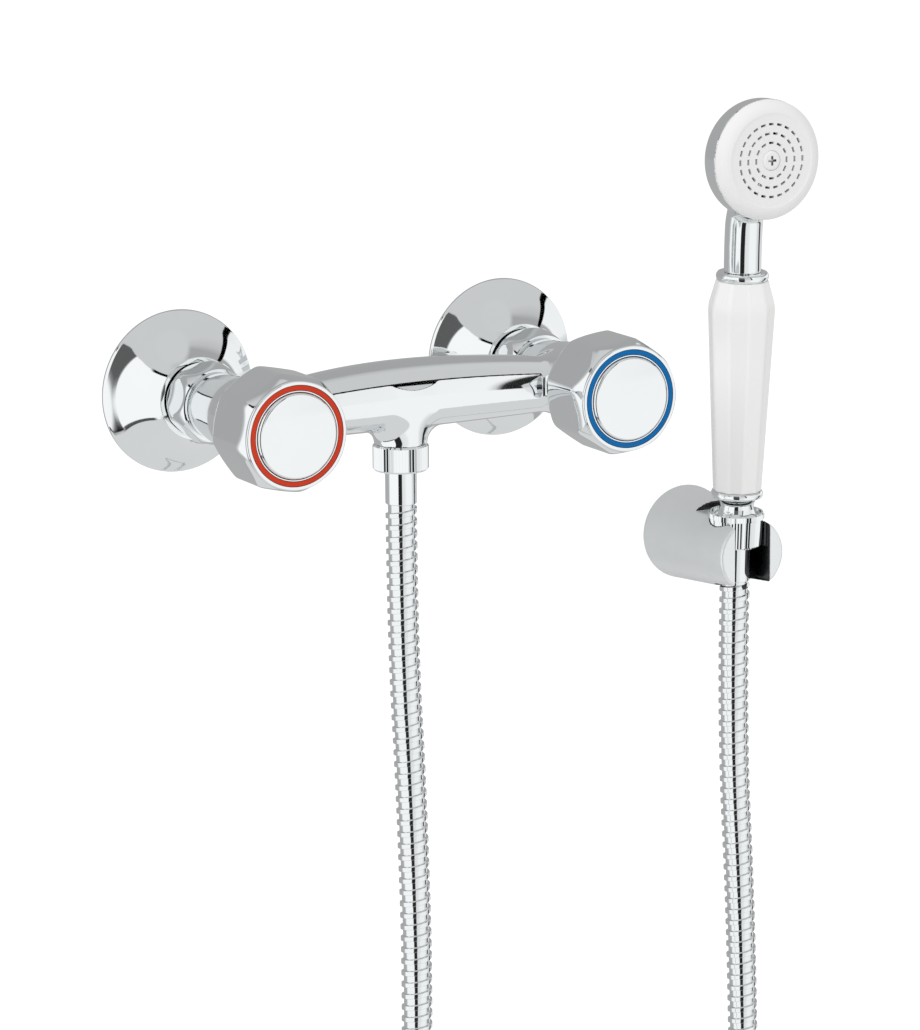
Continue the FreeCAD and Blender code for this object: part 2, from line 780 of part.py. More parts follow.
def handset_nut():
    """Knurled cone nut: its flange rests on the bracket's seat."""
    flange = knurled(CONE_TEETH, CONE_FLANGE_R, CONE_FLANGE_R, 0, CONE_FLANGE)
    cone = knurled(CONE_TEETH, CONE_BOTTOM_R, CONE_TOP_R, -CONE_DEPTH, 0)
    edge = turned([
        (0, -CONE_DEPTH),
        (CONE_BOTTOM_R - CONE_CHAMFER, -CONE_DEPTH),
        (CONE_BOTTOM_R, -CONE_DEPTH + CONE_CHAMFER),
        (CONE_FLANGE_R, 0),
        (CONE_FLANGE_R, CONE_FLANGE - CONE_CHAMFER),
        (CONE_FLANGE_R - CONE_CHAMFER, CONE_FLANGE),
        (0, CONE_FLANGE),
    ])
    bore = rod(HALF_INCH_R, CONE_FLOOR - CONE_DEPTH, CONE_FLANGE + PAST)
    mouth = rod(HOSE_R + FIT_CLEAR, -CONE_DEPTH - PAST, CONE_FLOOR - CONE_DEPTH + PAST)
    return flange.fuse(cone).common(edge).cut(bore.fuse(mouth)).removeSplitter()


def hose_washer(low):
    """Flat rubber washer inside a hose nut."""
    return ring(HOSE_WASHER_R, HOSE_WASHER_BORE_R, low, low + HOSE_WASHER)


def handset_nipple():
    """Half-inch thread, waist, collar and stub that carry the grip."""
    thread_r = HALF_INCH_R - THREAD_CLEAR
    thread_top = nipple_low() + NIPPLE_THREAD
    collar_low = NIPPLE_WAIST_TOP
    edge_r = NIPPLE_COLLAR_R - NIPPLE_COLLAR_ROUND
    stub_top = grip_low() + NIPPLE_STUB
    waist_middle = (thread_top + collar_low) / 2
    collar_middle = (collar_low + grip_low()) / 2
    shape = turned([
        (0, nipple_low()),
        (thread_r, nipple_low()),
        (thread_r, thread_top - NIPPLE_CHAMFER),
        (thread_r - NIPPLE_CHAMFER, thread_top),
        (edge_r - NIPPLE_FLARE, collar_low, NIPPLE_WAIST_R, waist_middle),
        (edge_r, collar_low),
        (edge_r, grip_low(), NIPPLE_COLLAR_R, collar_middle),
        (NIPPLE_STUB_R, grip_low()),
        (NIPPLE_STUB_R, stub_top),
        (0, stub_top),
    ])
    socket = rod(TUBE_R + FIT_CLEAR, tube_low(), stub_top + PAST)
    bore = rod(TUBE_BORE_R, nipple_low() - PAST, stub_top)
    return shape.cut(socket.fuse([bore, oring_groove(nipple_oring_low())])).removeSplitter()


def grip_low():
    """Height of the grip's lower end."""
    return NIPPLE_WAIST_TOP + NIPPLE_COLLAR


def grip_top():
    """Height of the grip's upper end."""
    return grip_low() + GRIP_LENGTH


def collar_top():
    """Height of the neck's lower end, on the upper collar."""
    return grip_top() + UPPER_COLLAR


def grip():
    """Faceted grip sleeve, widest near its top."""
    low = grip_low()
    wide = low + GRIP_WIDE_AT
    top = grip_top()
    stations = [(GRIP_BOTTOM_R, low), (GRIP_WIDE_R, wide), (GRIP_TOP_R, top)]
    spread = 1 / math.cos(math.pi / GRIP_SIDES)
    wires = [polygon(GRIP_SIDES, radius * spread, height) for radius, height in stations]
    facets = Part.makeLoft(wires, True, True)
    rounding = turned([
        (0, low),
        (GRIP_BOTTOM_R + GRIP_EDGE, low),
        (GRIP_WIDE_R + GRIP_EDGE, wide - GRIP_SHOULDER),
        (GRIP_WIDE_R - GRIP_EDGE, wide + GRIP_SHOULDER, GRIP_WIDE_R + GRIP_EDGE / 2, wide + GRIP_CROWN),
        (GRIP_TOP_R, top),
        (0, top),
    ])
    return facets.common(rounding).cut(rod(GRIP_BORE_R, low - PAST, top + PAST)).removeSplitter()


def upper_collar():
    """Ring between the grip and the neck."""
    low = grip_top()
    middle = low + UPPER_COLLAR / 2
    edge_r = UPPER_COLLAR_R - UPPER_COLLAR_ROUND
    return turned([
        (TUBE_R + FIT_CLEAR, low),
        (edge_r, low),
        (edge_r, collar_top(), UPPER_COLLAR_R, middle),
        (TUBE_R + FIT_CLEAR, collar_top()),
    ])


def water_tube():
    """Tube that carries the water through the grip and ties the handset together."""
    return ring(TUBE_R, TUBE_BORE_R, tube_low(), collar_top() + TUBE_SINK)


def tube_low():
    """Height of the water tube's lower end, inside the nipple."""
    return grip_low() + NIPPLE_STUB - TUBE_SINK


def nipple_oring_low():
    """Height of the O-ring around the tube's lower end."""
    return tube_low() + TUBE_ORING_DEEP


def neck_oring_low():
    """Height of the O-ring around the tube's upper end."""
    return collar_top() + TUBE_SINK - TUBE_ORING_DEEP


def tube_oring(low):
    """O-ring around the water tube."""
    return ring(TUBE_R + TUBE_ORING - FIT_CLEAR, TUBE_R + FIT_CLEAR, low + FIT_CLEAR, low + TUBE_ORING_HIGH)


def oring_groove(low):
    """Room for an O-ring around the water tube."""
    return ring(TUBE_R + TUBE_ORING, TUBE_R, low, low + TUBE_ORING_HIGH + FIT_CLEAR)


def dome(radius, deep, flat):
    """Round-backed pot about Z: a side wall of the flat height over a dome with a flat crown."""
    low = -flat - deep
    reach = radius - HEAD_CROWN_R
    ball = (reach * reach + deep * deep) / (2 * deep)
    half = math.atan2(reach, ball - deep) / 2
    return turned([
        (0, low),
        (HEAD_CROWN_R, low),
        (radius, -flat, HEAD_CROWN_R + ball * math.sin(half), low + ball * (1 - math.cos(half))),
        (radius, 0),
        (0, 0),
    ])


def neck():
    """Round neck that bends forward into the back of the head."""
    wires = [circle_wire(NECK_R, 0, collar_top())]
    for drop, forward, thinner in NECK_CURVE:
        wires.append(circle_wire(NECK_R - thinner, -forward, HEAD_RISE - drop))
    return Part.makeLoft(wires, True, False)


def head_shell():
    """Chromed head and neck in one piece, open towards the spray plate."""
    outside = placed(dome(HEAD_R, HEAD_DOME, HEAD_SIDE), head_front())
    shell = outside.fuse(neck()).removeSplitter()
    lowest = HEAD_RISE - HEAD_R - HEAD_FILLET
    joint = [edge for edge in curved_edges(shell)
             if lowest < edge.BoundBox.ZMin and edge.BoundBox.ZMax < HEAD_RISE]
    shell = shell.makeFillet(HEAD_FILLET, joint)
    inside = placed(dome(HEAD_R - HEAD_WALL, HEAD_DOME - HEAD_WALL, HEAD_SIDE).cut(
        rod(POST_R, -HEAD_SIDE - HEAD_DOME, 0)), head_front())
    post_hole = placed(rod(SPRAY_SCREW_R, -SPRAY_SCREW_LENGTH, PAST), head_front())
    socket = rod(TUBE_R + FIT_CLEAR, collar_top() - PAST, collar_top() + TUBE_SINK)
    bore = rod(NECK_BORE_R, collar_top(), HEAD_RISE - HEAD_R + NECK_BORE_RISE)
    groove = oring_groove(neck_oring_low())
    return shell.cut(inside.fuse([post_hole, socket, bore, groove])).removeSplitter()


def head_front():
    """Placement of the shell's open rim: its own Z runs out of the spray face."""
    return at_head().multiply(FreeCAD.Placement(V(0, 0, HEAD_FORWARD), FreeCAD.Rotation()))


def spray_plate():
    """White face plate: sloped rim, ridge and a sunk disc with three rings of slots."""
    face = SPRAY_RIDGE - SPRAY_GROOVE
    under = face - SPRAY_THICK
    disc_r = SPRAY_RIDGE_R - SPRAY_RIDGE_WIDE
    skirt_inner_r = SPRAY_SKIRT_R - SPRAY_SKIRT_WALL
    slope_r = (SPRAY_R + SPRAY_RIDGE_R) / 2 + SPRAY_SHOULDER
    slope_out = (SPRAY_RIM + SPRAY_RIDGE) / 2 + SPRAY_SHOULDER
    plate = turned([
        (0, under),
        (disc_r, under),
        (skirt_inner_r, 0),
        (skirt_inner_r, -SPRAY_SKIRT),
        (SPRAY_SKIRT_R, -SPRAY_SKIRT),
        (SPRAY_SKIRT_R, 0),
        (SPRAY_R, 0),
        (SPRAY_R, SPRAY_RIM),
        (SPRAY_RIDGE_R, SPRAY_RIDGE, slope_r, slope_out),
        (disc_r, face),
        (0, face),
    ])
    cutters = [rod(SPRAY_SCREW_R + FIT_CLEAR, -SPRAY_SKIRT - PAST, face + PAST),
               rod(SPRAY_SCREW_HEAD_R + FIT_CLEAR, spray_screw_low(), face + PAST)]
    for radius, count in SPRAY_SLOTS:
        for i in range(count):
            slot = Part.makeBox(SLOT_SHORT, SLOT_LONG, SPRAY_THICK + 2 * PAST,
                                V(radius - SLOT_SHORT / 2, -SLOT_LONG / 2, under - PAST))
            slot.rotate(V(0, 0, 0), V(0, 0, 1), 360.0 * i / count)
            cutters.append(slot)
    return placed(plate.cut(cutters[0].fuse(cutters[1:])), head_front())


def spray_screw():
    """Cross-head screw in the middle of the spray plate."""
    head_low = spray_screw_low()
    top = head_low + SPRAY_SCREW_HEAD
    rounding = corner_cut(SPRAY_SCREW_ROUND)
    shank = rod(SPRAY_SCREW_R - FIT_CLEAR, SPRAY_SCREW_GAP - SPRAY_SCREW_LENGTH, head_low)
    head = turned([
        (0, head_low),
        (SPRAY_SCREW_HEAD_R, head_low),
        (SPRAY_SCREW_HEAD_R, top - SPRAY_SCREW_ROUND),
        (SPRAY_SCREW_HEAD_R - SPRAY_SCREW_ROUND, top, SPRAY_SCREW_HEAD_R - rounding, top - rounding),
        (0, top),
    ])
    return placed(shank.fuse(head).cut(cross_recess(top)).removeSplitter(), head_front())


def spray_screw_low():
    """Height of the underside of the spray screw's head, above the shell's rim."""
    return SPRAY_RIDGE - SPRAY_GROOVE + SPRAY_SCREW_PROUD - SPRAY_SCREW_HEAD


def spray_seal():
    """O-ring between the spray plate's skirt and the shell."""
    low = -SPRAY_SKIRT - 2 * SEAL_R
    outer_r = SPRAY_SKIRT_R - SEAL_INSET
    return placed(ring(outer_r, outer_r - 2 * SEAL_R, low, low + 2 * SEAL_R), head_front())


def bracket_outside():
    """Tapered round bracket about its own axis."""
    edge = BRACKET_BACK_EDGE
    lip = BRACKET_FRONT_EDGE
    return turned([
        (0, 0),
        (BRACKET_BACK_R - edge, 0),
        (BRACKET_BACK_R, edge, BRACKET_BACK_R - corner_cut(edge), corner_cut(edge)),
        (BRACKET_FRONT_R, BRACKET_LENGTH - lip),
        (BRACKET_FRONT_R - lip, BRACKET_LENGTH,
         BRACKET_FRONT_R - corner_cut(lip), BRACKET_LENGTH - corner_cut(lip)),
        (0, BRACKET_LENGTH),
    ])


def bracket_body():
    """Bracket with a flat seat, a tapered socket, a front slot and a recess for the wall plate."""
    reach = 2 * BRACKET_BACK_R
    body = placed(bracket_outside(), at_bracket())
    seat = placed(Part.makeBox(2 * reach, 2 * reach + HANDSET_OUT - SEAT_STEP, reach,
                               V(-reach, -2 * reach, 0)), at_handset())
    socket = turned([
        (0, PAST),
        (CONE_TOP_R + CONE_CLEAR + CONE_MOUTH, PAST),
        (CONE_TOP_R + CONE_CLEAR + CONE_MOUTH, 0),
        (CONE_TOP_R + CONE_CLEAR, -CONE_MOUTH),
        (CONE_BOTTOM_R + CONE_CLEAR, -CONE_DEPTH - CONE_CLEAR),
        (0, -CONE_DEPTH - CONE_CLEAR),
    ])
    half = SLOT_WIDTH / 2
    hose_way = rod(half, -2 * reach, 0)
    slot = Part.makeBox(SLOT_WIDTH, 2 * reach, 2 * reach + PAST, V(-half, -2 * reach, -2 * reach))
    opening = placed(socket.fuse([hose_way, slot]), at_handset())
    recess = placed(rod(WALL_PLATE_R + WALL_PLATE_CLEAR, -PAST, WALL_PLATE), at_bracket())
    grub = Part.makeCylinder(GRUB_R, BRACKET_BACK_R + PAST, V(BRACKET_X, -WALL_PLATE / 2, BRACKET_Z),
                             V(0, 0, -1))
    return body.cut(seat.fuse([opening, recess, grub])).removeSplitter()


def wall_plate():
    """Disc with two countersunk holes for wall screws, over which the bracket is pushed."""
    plate = rod(WALL_PLATE_R, 0, WALL_PLATE)
    sink = WALL_COUNTERSINK_R - WALL_HOLE_R
    cutters = []
    for side in (-1, 1):
        place = side * WALL_SCREW_SPACING / 2
        cutters.append(Part.makeCylinder(WALL_HOLE_R, WALL_PLATE + 2 * PAST, V(0, place, -PAST)))
        cutters.append(Part.makeCone(WALL_HOLE_R, WALL_COUNTERSINK_R, sink, V(0, place, WALL_PLATE - sink)))
    return placed(plate.cut(cutters[0].fuse(cutters[1:])), at_bracket())


def grub_screw():
    """Headless screw under the bracket that bears on the wall plate."""
    top = -WALL_PLATE_R
    low = top - GRUB_LENGTH
    socket = Part.makeCylinder(GRUB_SOCKET_R, GRUB_SOCKET + PAST, V(0, low - PAST, 0), V(0, 1, 0))
    screw = Part.makeCylinder(GRUB_R - THREAD_CLEAR, GRUB_LENGTH, V(0, low, 0), V(0, 1, 0))
    screw = screw.cut(socket)
    screw.translate(V(0, 0, WALL_PLATE / 2))
    return placed(screw, at_bracket())


def hose_start():
    """Lower end of the ferrule at the outlet."""
    return V(0, -BAR_OUT, outlet_seal_low() - outlet_tail_length())


def hose_end():
    """Lower end of the ferrule at the handset."""
    return at_handset().multVec(V(0, 0, cone_seal_low() - handset_tail_length()))


def hose_lead():
    """Point that keeps the hose square to its ferrule at the handset."""
    return at_handset().multVec(V(0, 0, cone_seal_low() - handset_tail_length() - HOSE_LEAD))


def hose_runs():
    """Route of the hose: its corner points and the radius of the bend at each."""
    points = [hose_start()] + [V(*point) for point in HOSE_POINTS] + [hose_lead(), hose_end()]
    radii = []
    for before, here, after in zip(points, points[1:], points[2:]):
        turn = (here - before).getAngle(after - here)
        shorter = min((here - before).Length, (after - here).Length)
        radii.append(HOSE_BEND_SHARE * shorter / math.tan(turn / 2))
    return points, radii


def hose_path():
    """Straight runs joined by tangent arcs, as one wire."""
    points, radii = hose_runs()
    edges = []
    start = points[0]
    for i in range(1, len(points) - 1):
        back = (points[i - 1] - points[i]).normalize()
        on = (points[i + 1] - points[i]).normalize()
        half = (-back).getAngle(on) / 2
        trim = radii[i - 1] * math.tan(half)
        enter = points[i] + back * trim
        leave = points[i] + on * trim
        inward = (back + on).normalize()
        middle = points[i] + inward * (radii[i - 1] / math.cos(half) - radii[i - 1])
        edges.append(Part.LineSegment(start, enter).toShape())
        edges.append(Part.Arc(enter, middle, leave).toShape())
        start = leave
    edges.append(Part.LineSegment(start, points[-1]).toShape())
    return Part.Wire(edges)


def along(edges, distance):
    """Point and direction of the route at a distance from its start."""
    for edge in edges[:-1]:
        if distance <= edge.Length:
            break
        distance -= edge.Length
    else:
        edge = edges[-1]
    parameter = edge.getParameterByLength(min(distance, edge.Length))
    return edge.valueAt(parameter), edge.tangentAt(parameter)


def hose_ring(edges, distance, radius):
    """Circle across the route, whose start point is kept on one side all the way."""
    point, direction = along(edges, distance)
    side = V(0, 1, 0) - direction * direction.dot(V(0, 1, 0))
    axes = FreeCAD.Rotation(side, direction.cross(side), direction, "ZXY")
    circle = Part.makeCircle(radius)
    circle.Placement = FreeCAD.Placement(point, axes)
    return Part.Wire(circle)


def hose():
    """Metal hose: stepped ribs outside, a smooth bore, plain straight ends."""
    wire = hose_path()
    edges = wire.Edges
    length = wire.Length
    pitch = (length - 2 * HOSE_END_STRAIGHT) / HOSE_RIBS
    groove_r = HOSE_R - HOSE_GROOVE
    outer = [hose_ring(edges, 0, HOSE_R)]
    inner = [hose_ring(edges, 0, HOSE_BORE_R)]
    for i in range(HOSE_RIBS):
        start = HOSE_END_STRAIGHT + i * pitch
        for share, radius in zip(HOSE_GROOVE_AT, (HOSE_R, groove_r, groove_r, HOSE_R)):
            outer.append(hose_ring(edges, start + share * pitch, radius))
        inner.append(hose_ring(edges, start + pitch / 2, HOSE_BORE_R))
    outer.append(hose_ring(edges, length, HOSE_R))
    inner.append(hose_ring(edges, length, HOSE_BORE_R))
    tube = Part.makeLoft(outer, True, True)
    return tube.cut(Part.makeLoft(inner, True, True))


def print_hose(shape):
    """Prints the route's bends and compares the hose's volume with its section times its length."""
    points, radii = hose_runs()
    length = hose_path().Length
    side_low, floor_low, floor_high, side_high = HOSE_GROOVE_AT
    groove_share = (side_high + floor_high - floor_low - side_low) / 2
    section = math.pi * ((HOSE_R - groove_share * HOSE_GROOVE) ** 2 - HOSE_BORE_R ** 2)
    print("hose length", round(length, 1), "least bend radius", round(min(radii), 1))
    print("bend radii", [round(radius) for radius in radii])
    print("runs", [round((b - a).Length) for a, b in zip(points, points[1:])])
    print("volume share", round(shape.Volume / (section * length), 4))


def side_pieces(name, side, turn):
    """Every piece of one water inlet, named for its side."""
    place = at_side(side * INLET_SPACING / 2)
    made = {
        "eccentric_union_": eccentric_union(),
        "escutcheon_": escutcheon(),
        "union_nut_": union_nut(),
        "inlet_washer_": inlet_washer(),
        "inlet_collar_": inlet_collar(),
        "headwork_body_": headwork_body(),
        "valve_washer_": valve_washer(),
        "valve_piston_": valve_piston(),
        "spindle_": spindle(),
        "spindle_oring_": spindle_oring(),
        "knob_": knob(turn),
        "index_ring_": index_ring(),
        "knob_cap_": knob_cap(),
        "knob_screw_": knob_screw(),
    }
    return {piece + name: placed(shape, place) for piece, shape in made.items()}


def outlet_pieces():
    """The hose's fittings at the outlet."""
    place = at_outlet()
    return {
        "hose_nut": placed(hose_nut(), place),
        "hose_washer": placed(hose_washer(outlet_seal_low()), place),
        "hose_ferrule": placed(tail(outlet_seal_low(), outlet_tail_length()), place),
    }


def handset_pieces():
    """The handset and the hose's fittings at its end."""
    made = {
        "handset_nut": handset_nut(),
        "handset_washer": hose_washer(cone_seal_low()),
        "handset_ferrule": tail(cone_seal_low(), handset_tail_length()),
        "handset_nipple": handset_nipple(),
        "grip": grip(),
        "upper_collar": upper_collar(),
        "water_tube": water_tube(),
        "nipple_oring": tube_oring(nipple_oring_low()),
        "neck_oring": tube_oring(neck_oring_low()),
        "head_shell": head_shell(),
        "spray_plate": spray_plate(),
        "spray_screw": spray_screw(),
        "spray_seal": spray_seal(),
    }
    return {name: placed(shape, at_handset()) for name, shape in made.items()}


def bracket_pieces():
    """The wall bracket and what holds it."""
    return {
        "bracket_body": bracket_body(),
        "bracket_wall_plate": wall_plate(),
        "bracket_grub_screw": grub_screw(),
    }


def main():
    """Makes every piece and writes it out."""
    pieces = {"mixer_body": mixer_body()}
    pieces.update(side_pieces("hot", -1, HOT_TURN))
    pieces.update(side_pieces("cold", 1, COLD_TURN))
    pieces.update(outlet_pieces())
    pieces.update(handset_pieces())
    pieces.update(bracket_pieces())
    pieces["hose"] = hose()
    print_hose(pieces["hose"])
    os.makedirs("parts", exist_ok=True)
    for name, shape in pieces.items():
        shape.exportStep("parts/" + name + ".step")


main()
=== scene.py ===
import json
import math

import bmesh
import bpy
import numpy as np
from bpy.props import FloatProperty, FloatVectorProperty, IntProperty, PointerProperty
from mathutils import Matrix, Vector


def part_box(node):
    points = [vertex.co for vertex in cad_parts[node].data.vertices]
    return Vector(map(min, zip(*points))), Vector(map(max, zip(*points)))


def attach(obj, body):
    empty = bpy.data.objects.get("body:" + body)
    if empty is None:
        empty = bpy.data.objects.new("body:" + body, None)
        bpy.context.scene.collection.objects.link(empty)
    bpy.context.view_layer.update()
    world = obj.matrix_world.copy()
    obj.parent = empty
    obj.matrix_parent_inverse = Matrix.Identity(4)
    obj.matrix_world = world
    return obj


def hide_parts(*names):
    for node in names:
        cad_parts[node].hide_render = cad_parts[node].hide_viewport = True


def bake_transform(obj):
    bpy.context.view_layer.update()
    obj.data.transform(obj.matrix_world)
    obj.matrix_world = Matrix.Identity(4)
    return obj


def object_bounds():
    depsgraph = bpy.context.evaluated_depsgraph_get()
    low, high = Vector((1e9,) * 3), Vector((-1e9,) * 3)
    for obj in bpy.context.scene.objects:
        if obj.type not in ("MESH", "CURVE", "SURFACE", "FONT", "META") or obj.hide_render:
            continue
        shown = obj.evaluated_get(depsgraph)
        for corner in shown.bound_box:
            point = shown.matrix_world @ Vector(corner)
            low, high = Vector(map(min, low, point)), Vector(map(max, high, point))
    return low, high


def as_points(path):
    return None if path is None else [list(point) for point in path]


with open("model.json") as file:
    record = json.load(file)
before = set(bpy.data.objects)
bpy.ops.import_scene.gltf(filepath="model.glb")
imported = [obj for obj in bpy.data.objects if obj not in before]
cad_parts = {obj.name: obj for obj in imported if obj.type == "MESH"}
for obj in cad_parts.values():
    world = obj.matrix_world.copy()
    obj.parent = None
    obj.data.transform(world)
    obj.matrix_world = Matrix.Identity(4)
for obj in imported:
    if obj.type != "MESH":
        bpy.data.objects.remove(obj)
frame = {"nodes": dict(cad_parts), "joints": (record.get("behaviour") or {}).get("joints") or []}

bl_info = {
    "name": "Wall shower mixer",
    "version": (1, 0, 0),
    "blender": (4, 5, 0),
    "location": "View3D > Sidebar > Shower",
    "description": "Dresses the packed frame of a wall shower mixer with its hose and hand shower",
    "category": "Object",
}

CAD_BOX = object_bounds()

# Lengths are in millimetres, which MM turns into metres. The panel's sizes, meshes and places are in metres
MM = 0.001
LATHE_STEPS = 144
ROUND_STEPS = 5
ROOT_HALF = math.sqrt(0.5)

# The photograph's view, in degrees and metres
VIEW_AZIMUTH, VIEW_ELEVATION, VIEW_ROLL = 28.457, 12.359, -0.426
VIEW_DISTANCE = 1.90984
VIEW_AIM = (0.028874, -0.05, -0.054108)
LONG_SIDE_SENSOR, LENS = 36.0, 162.02
CLIP_NEAR, CLIP_FAR = 0.05, 50.0

# Places of the inlets' axes, the outlet, the bracket, the handset's leaning axis and the spray face
SIDES = ("hot", "cold")
SEAT = Vector(next(j["pos_m"] for j in frame["joints"] if j["name"] == "handset_swivel"))
HANDSET_LEAN = math.radians(2.0)
FACE_TILT = math.radians(3.0)
HEAD_RISE, HEAD_FORWARD = 156.2 * MM, 16.5 * MM
OUT_OF_WALL = Matrix.Rotation(math.radians(90), 4, "X")
AT_OUTLET = Matrix.Translation((0, -53.0 * MM, 0))
AT_BRACKET = Matrix.Translation((165.5 * MM, 0, -85.2 * MM)) @ OUT_OF_WALL
AT_HANDSET = Matrix.Translation(SEAT) @ Matrix.Rotation(HANDSET_LEAN, 4, "X")
AT_SPRAY = (AT_HANDSET @ Matrix.Translation((0, 0, HEAD_RISE))
            @ Matrix.Rotation(math.radians(90) - FACE_TILT, 4, "X") @ Matrix.Translation((0, 0, HEAD_FORWARD)))


def at_side(side):
    """Place of an inlet's axis: its own Z runs out of the wall."""
    low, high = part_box("escutcheon_" + side)
    return Matrix.Translation(((low.x + high.x) / 2, 0, 0)) @ OUT_OF_WALL


# Modelling by hand

def deselect():
    """Clears the selection and leaves edit mode."""
    if bpy.context.object and bpy.context.object.mode == "EDIT":
        bpy.ops.object.mode_set(mode="OBJECT")
    bpy.ops.object.select_all(action="DESELECT")


def added(name):
    """Names the object that an operator has just added."""
    piece = bpy.context.object
    piece.name = piece.data.name = name
    return piece


def only(piece):
    """Selects one piece and makes it active."""
    deselect()
    piece.select_set(True)
    bpy.context.view_layer.objects.active = piece


def editing(kind="VERT", action="SELECT"):
    """Opens the active piece in edit mode, with all of it selected or none."""
    bpy.ops.object.mode_set(mode="EDIT")
    bpy.ops.mesh.select_mode(type=kind)
    bpy.ops.mesh.select_all(action=action)


def settled(piece, place=None):
    """Puts the piece in its place and moves that place into its mesh."""
    only(piece)
    if place is not None:
        piece.matrix_world = place @ piece.matrix_world
    bpy.ops.object.transform_apply(location=True, rotation=True, scale=True)
    return piece


def cleaned(piece):
    """Merges doubled points and turns every face outwards."""
    only(piece)
    editing()
    bpy.ops.mesh.remove_doubles(threshold=0.00001)
    bpy.ops.mesh.normals_make_consistent(inside=False)
    bpy.ops.object.mode_set(mode="OBJECT")
    return piece


def with_modifier(piece, kind, **settings):
    """Adds a modifier, sets it and applies it."""
    only(piece)
    modifier = piece.modifiers.new(kind.title(), kind)
    for key, value in settings.items():
        setattr(modifier, key, value)
    bpy.ops.object.modifier_apply(modifier=modifier.name)
    return piece


def smoothed(piece, degrees):
    """Smooth shading that keeps edges sharper than the angle, with flats that stay flat."""
    only(piece)
    bpy.ops.object.shade_smooth_by_angle(angle=math.radians(degrees))
    return with_modifier(piece, "WEIGHTED_NORMAL", keep_sharp=True)


def carved(piece, cutter):
    """Cuts the piece with a cutter, which is then removed."""
    with_modifier(piece, "BOOLEAN", operation="DIFFERENCE", solver="MANIFOLD", object=cutter)
    bpy.data.objects.remove(cutter)
    return piece


def joined(name, pieces):
    """Joins pieces into one object."""
    only(pieces[0])
    for piece in pieces[1:]:
        piece.select_set(True)
    bpy.ops.object.join()
    return added(name)


def rounded(points):
    """Outline of (radius, height, rounding) points with each rounded corner drawn as a curve."""
    outline = []
    for i, point in enumerate(points):
        here = Vector(point[:2])
        rounding = point[2] if len(point) == 3 else 0.0
        if not rounding:
            outline.append(here)
            continue
        enter, leave = (here + (Vector(points[j][:2]) - here).normalized() * rounding for j in (i - 1, i + 1))
        for step in range(ROUND_STEPS + 1):
            t = step / ROUND_STEPS
            outline.append(enter * (1 - t) ** 2 + here * 2 * t * (1 - t) + leave * t * t)
    return outline


def lathe(name, points, steps=LATHE_STEPS):
    """Turns an outline of (radius, height, rounding) points about Z; one off the axis is closed first."""
    outline = rounded([tuple(value * MM for value in point) for point in points])
    if outline[0].x > 0:
        outline.append(outline[0])
    deselect()
    bpy.ops.mesh.primitive_plane_add(size=0.001)
    editing()
    bpy.ops.mesh.merge(type="CENTER")
    bpy.ops.transform.translate(value=(outline[0].x, 0, outline[0].y))
    for before, here in zip(outline, outline[1:]):
        step = (here.x - before.x, 0, here.y - before.y)
        bpy.ops.mesh.extrude_region_move(TRANSFORM_OT_translate={"value": step})
    bpy.ops.mesh.select_all(action="SELECT")
    bpy.ops.mesh.spin(steps=steps, angle=2 * math.pi, center=(0, 0, 0), axis=(0, 0, 1))
    bpy.ops.object.mode_set(mode="OBJECT")
    return cleaned(added(name))


def bar_between(name, radius, low, high, steps):
    """Round bar about Z between two heights."""
    return lathe(name, [(0, low), (radius, low), (radius, high), (0, high)], steps)


def block(name, low, high):
    """Box between two corners."""
    deselect()
    low, high = ([value * MM for value in corner] for corner in (low, high))
    bpy.ops.mesh.primitive_cube_add(size=1, location=[(a + b) / 2 for a, b in zip(low, high)])
    bpy.ops.transform.resize(value=[b - a for a, b in zip(low, high)])
    return settled(added(name))


def bevelled(piece, chosen, width, segments):
    """Bevels the edges that the test chooses by their two end points."""
    only(piece)
    editing("EDGE", "DESELECT")
    bpy.ops.object.mode_set(mode="OBJECT")
    vertices = piece.data.vertices
    for edge in piece.data.edges:
        edge.select = chosen([vertices[index] for index in edge.vertices])
    bpy.ops.object.mode_set(mode="EDIT")
    bpy.ops.mesh.bevel(offset=width * MM, segments=segments, affect="EDGES", clamp_overlap=True)
    bpy.ops.object.mode_set(mode="OBJECT")
    return cleaned(piece)


def copied(pattern, name, place):
    """Copy of a pattern with its own mesh, in its place."""
    only(pattern)
    bpy.ops.object.duplicate(linked=False)
    return settled(added(name), place)


def removed(*patterns):
    """Takes patterns away once they are copied."""
    for pattern in patterns:
        bpy.data.objects.remove(pattern)


def reach_of(point):
    """Distance of a point from the Z axis, in the point's own unit."""
    return math.hypot(point.x, point.y)


def drawn_in(vertex, share):
    """Moves a mesh point to a share of its distance from the Z axis."""
    vertex.co.x *= share
    vertex.co.y *= share


def arc_points(start, through, end, count=10):
    """Outline points on the arc from start through a middle point to the end, without the start."""
    a, b, c = (Vector(point) for point in (start, through, end))
    ab, bc = b - a, c - b
    system = Matrix(((ab.x, ab.y), (bc.x, bc.y)))
    middle = system.inverted() @ Vector((ab.dot((a + b) / 2), bc.dot((b + c) / 2)))
    radius = (a - middle).length
    first = math.atan2(a.y - middle.y, a.x - middle.x)
    turn = (a - middle).angle_signed(b - middle) + (b - middle).angle_signed(c - middle)
    angles = [first - turn * step / count for step in range(1, count + 1)]
    return [(middle.x + radius * math.cos(angle), middle.y + radius * math.sin(angle)) for angle in angles]


# Materials

def wired(tree, kind, output, inputs, **settings):
    """Adds a node, sets it, feeds its inputs with sockets or plain values and returns one of its outputs."""
    node = tree.nodes.new("ShaderNode" + kind)
    for name, value in settings.items():
        setattr(node, name, value)
    for name, value in inputs.items():
        if isinstance(value, bpy.types.NodeSocket):
            tree.links.new(value, node.inputs[name])
        elif value is not None:
            node.inputs[name].default_value = value
    return node.outputs[output]


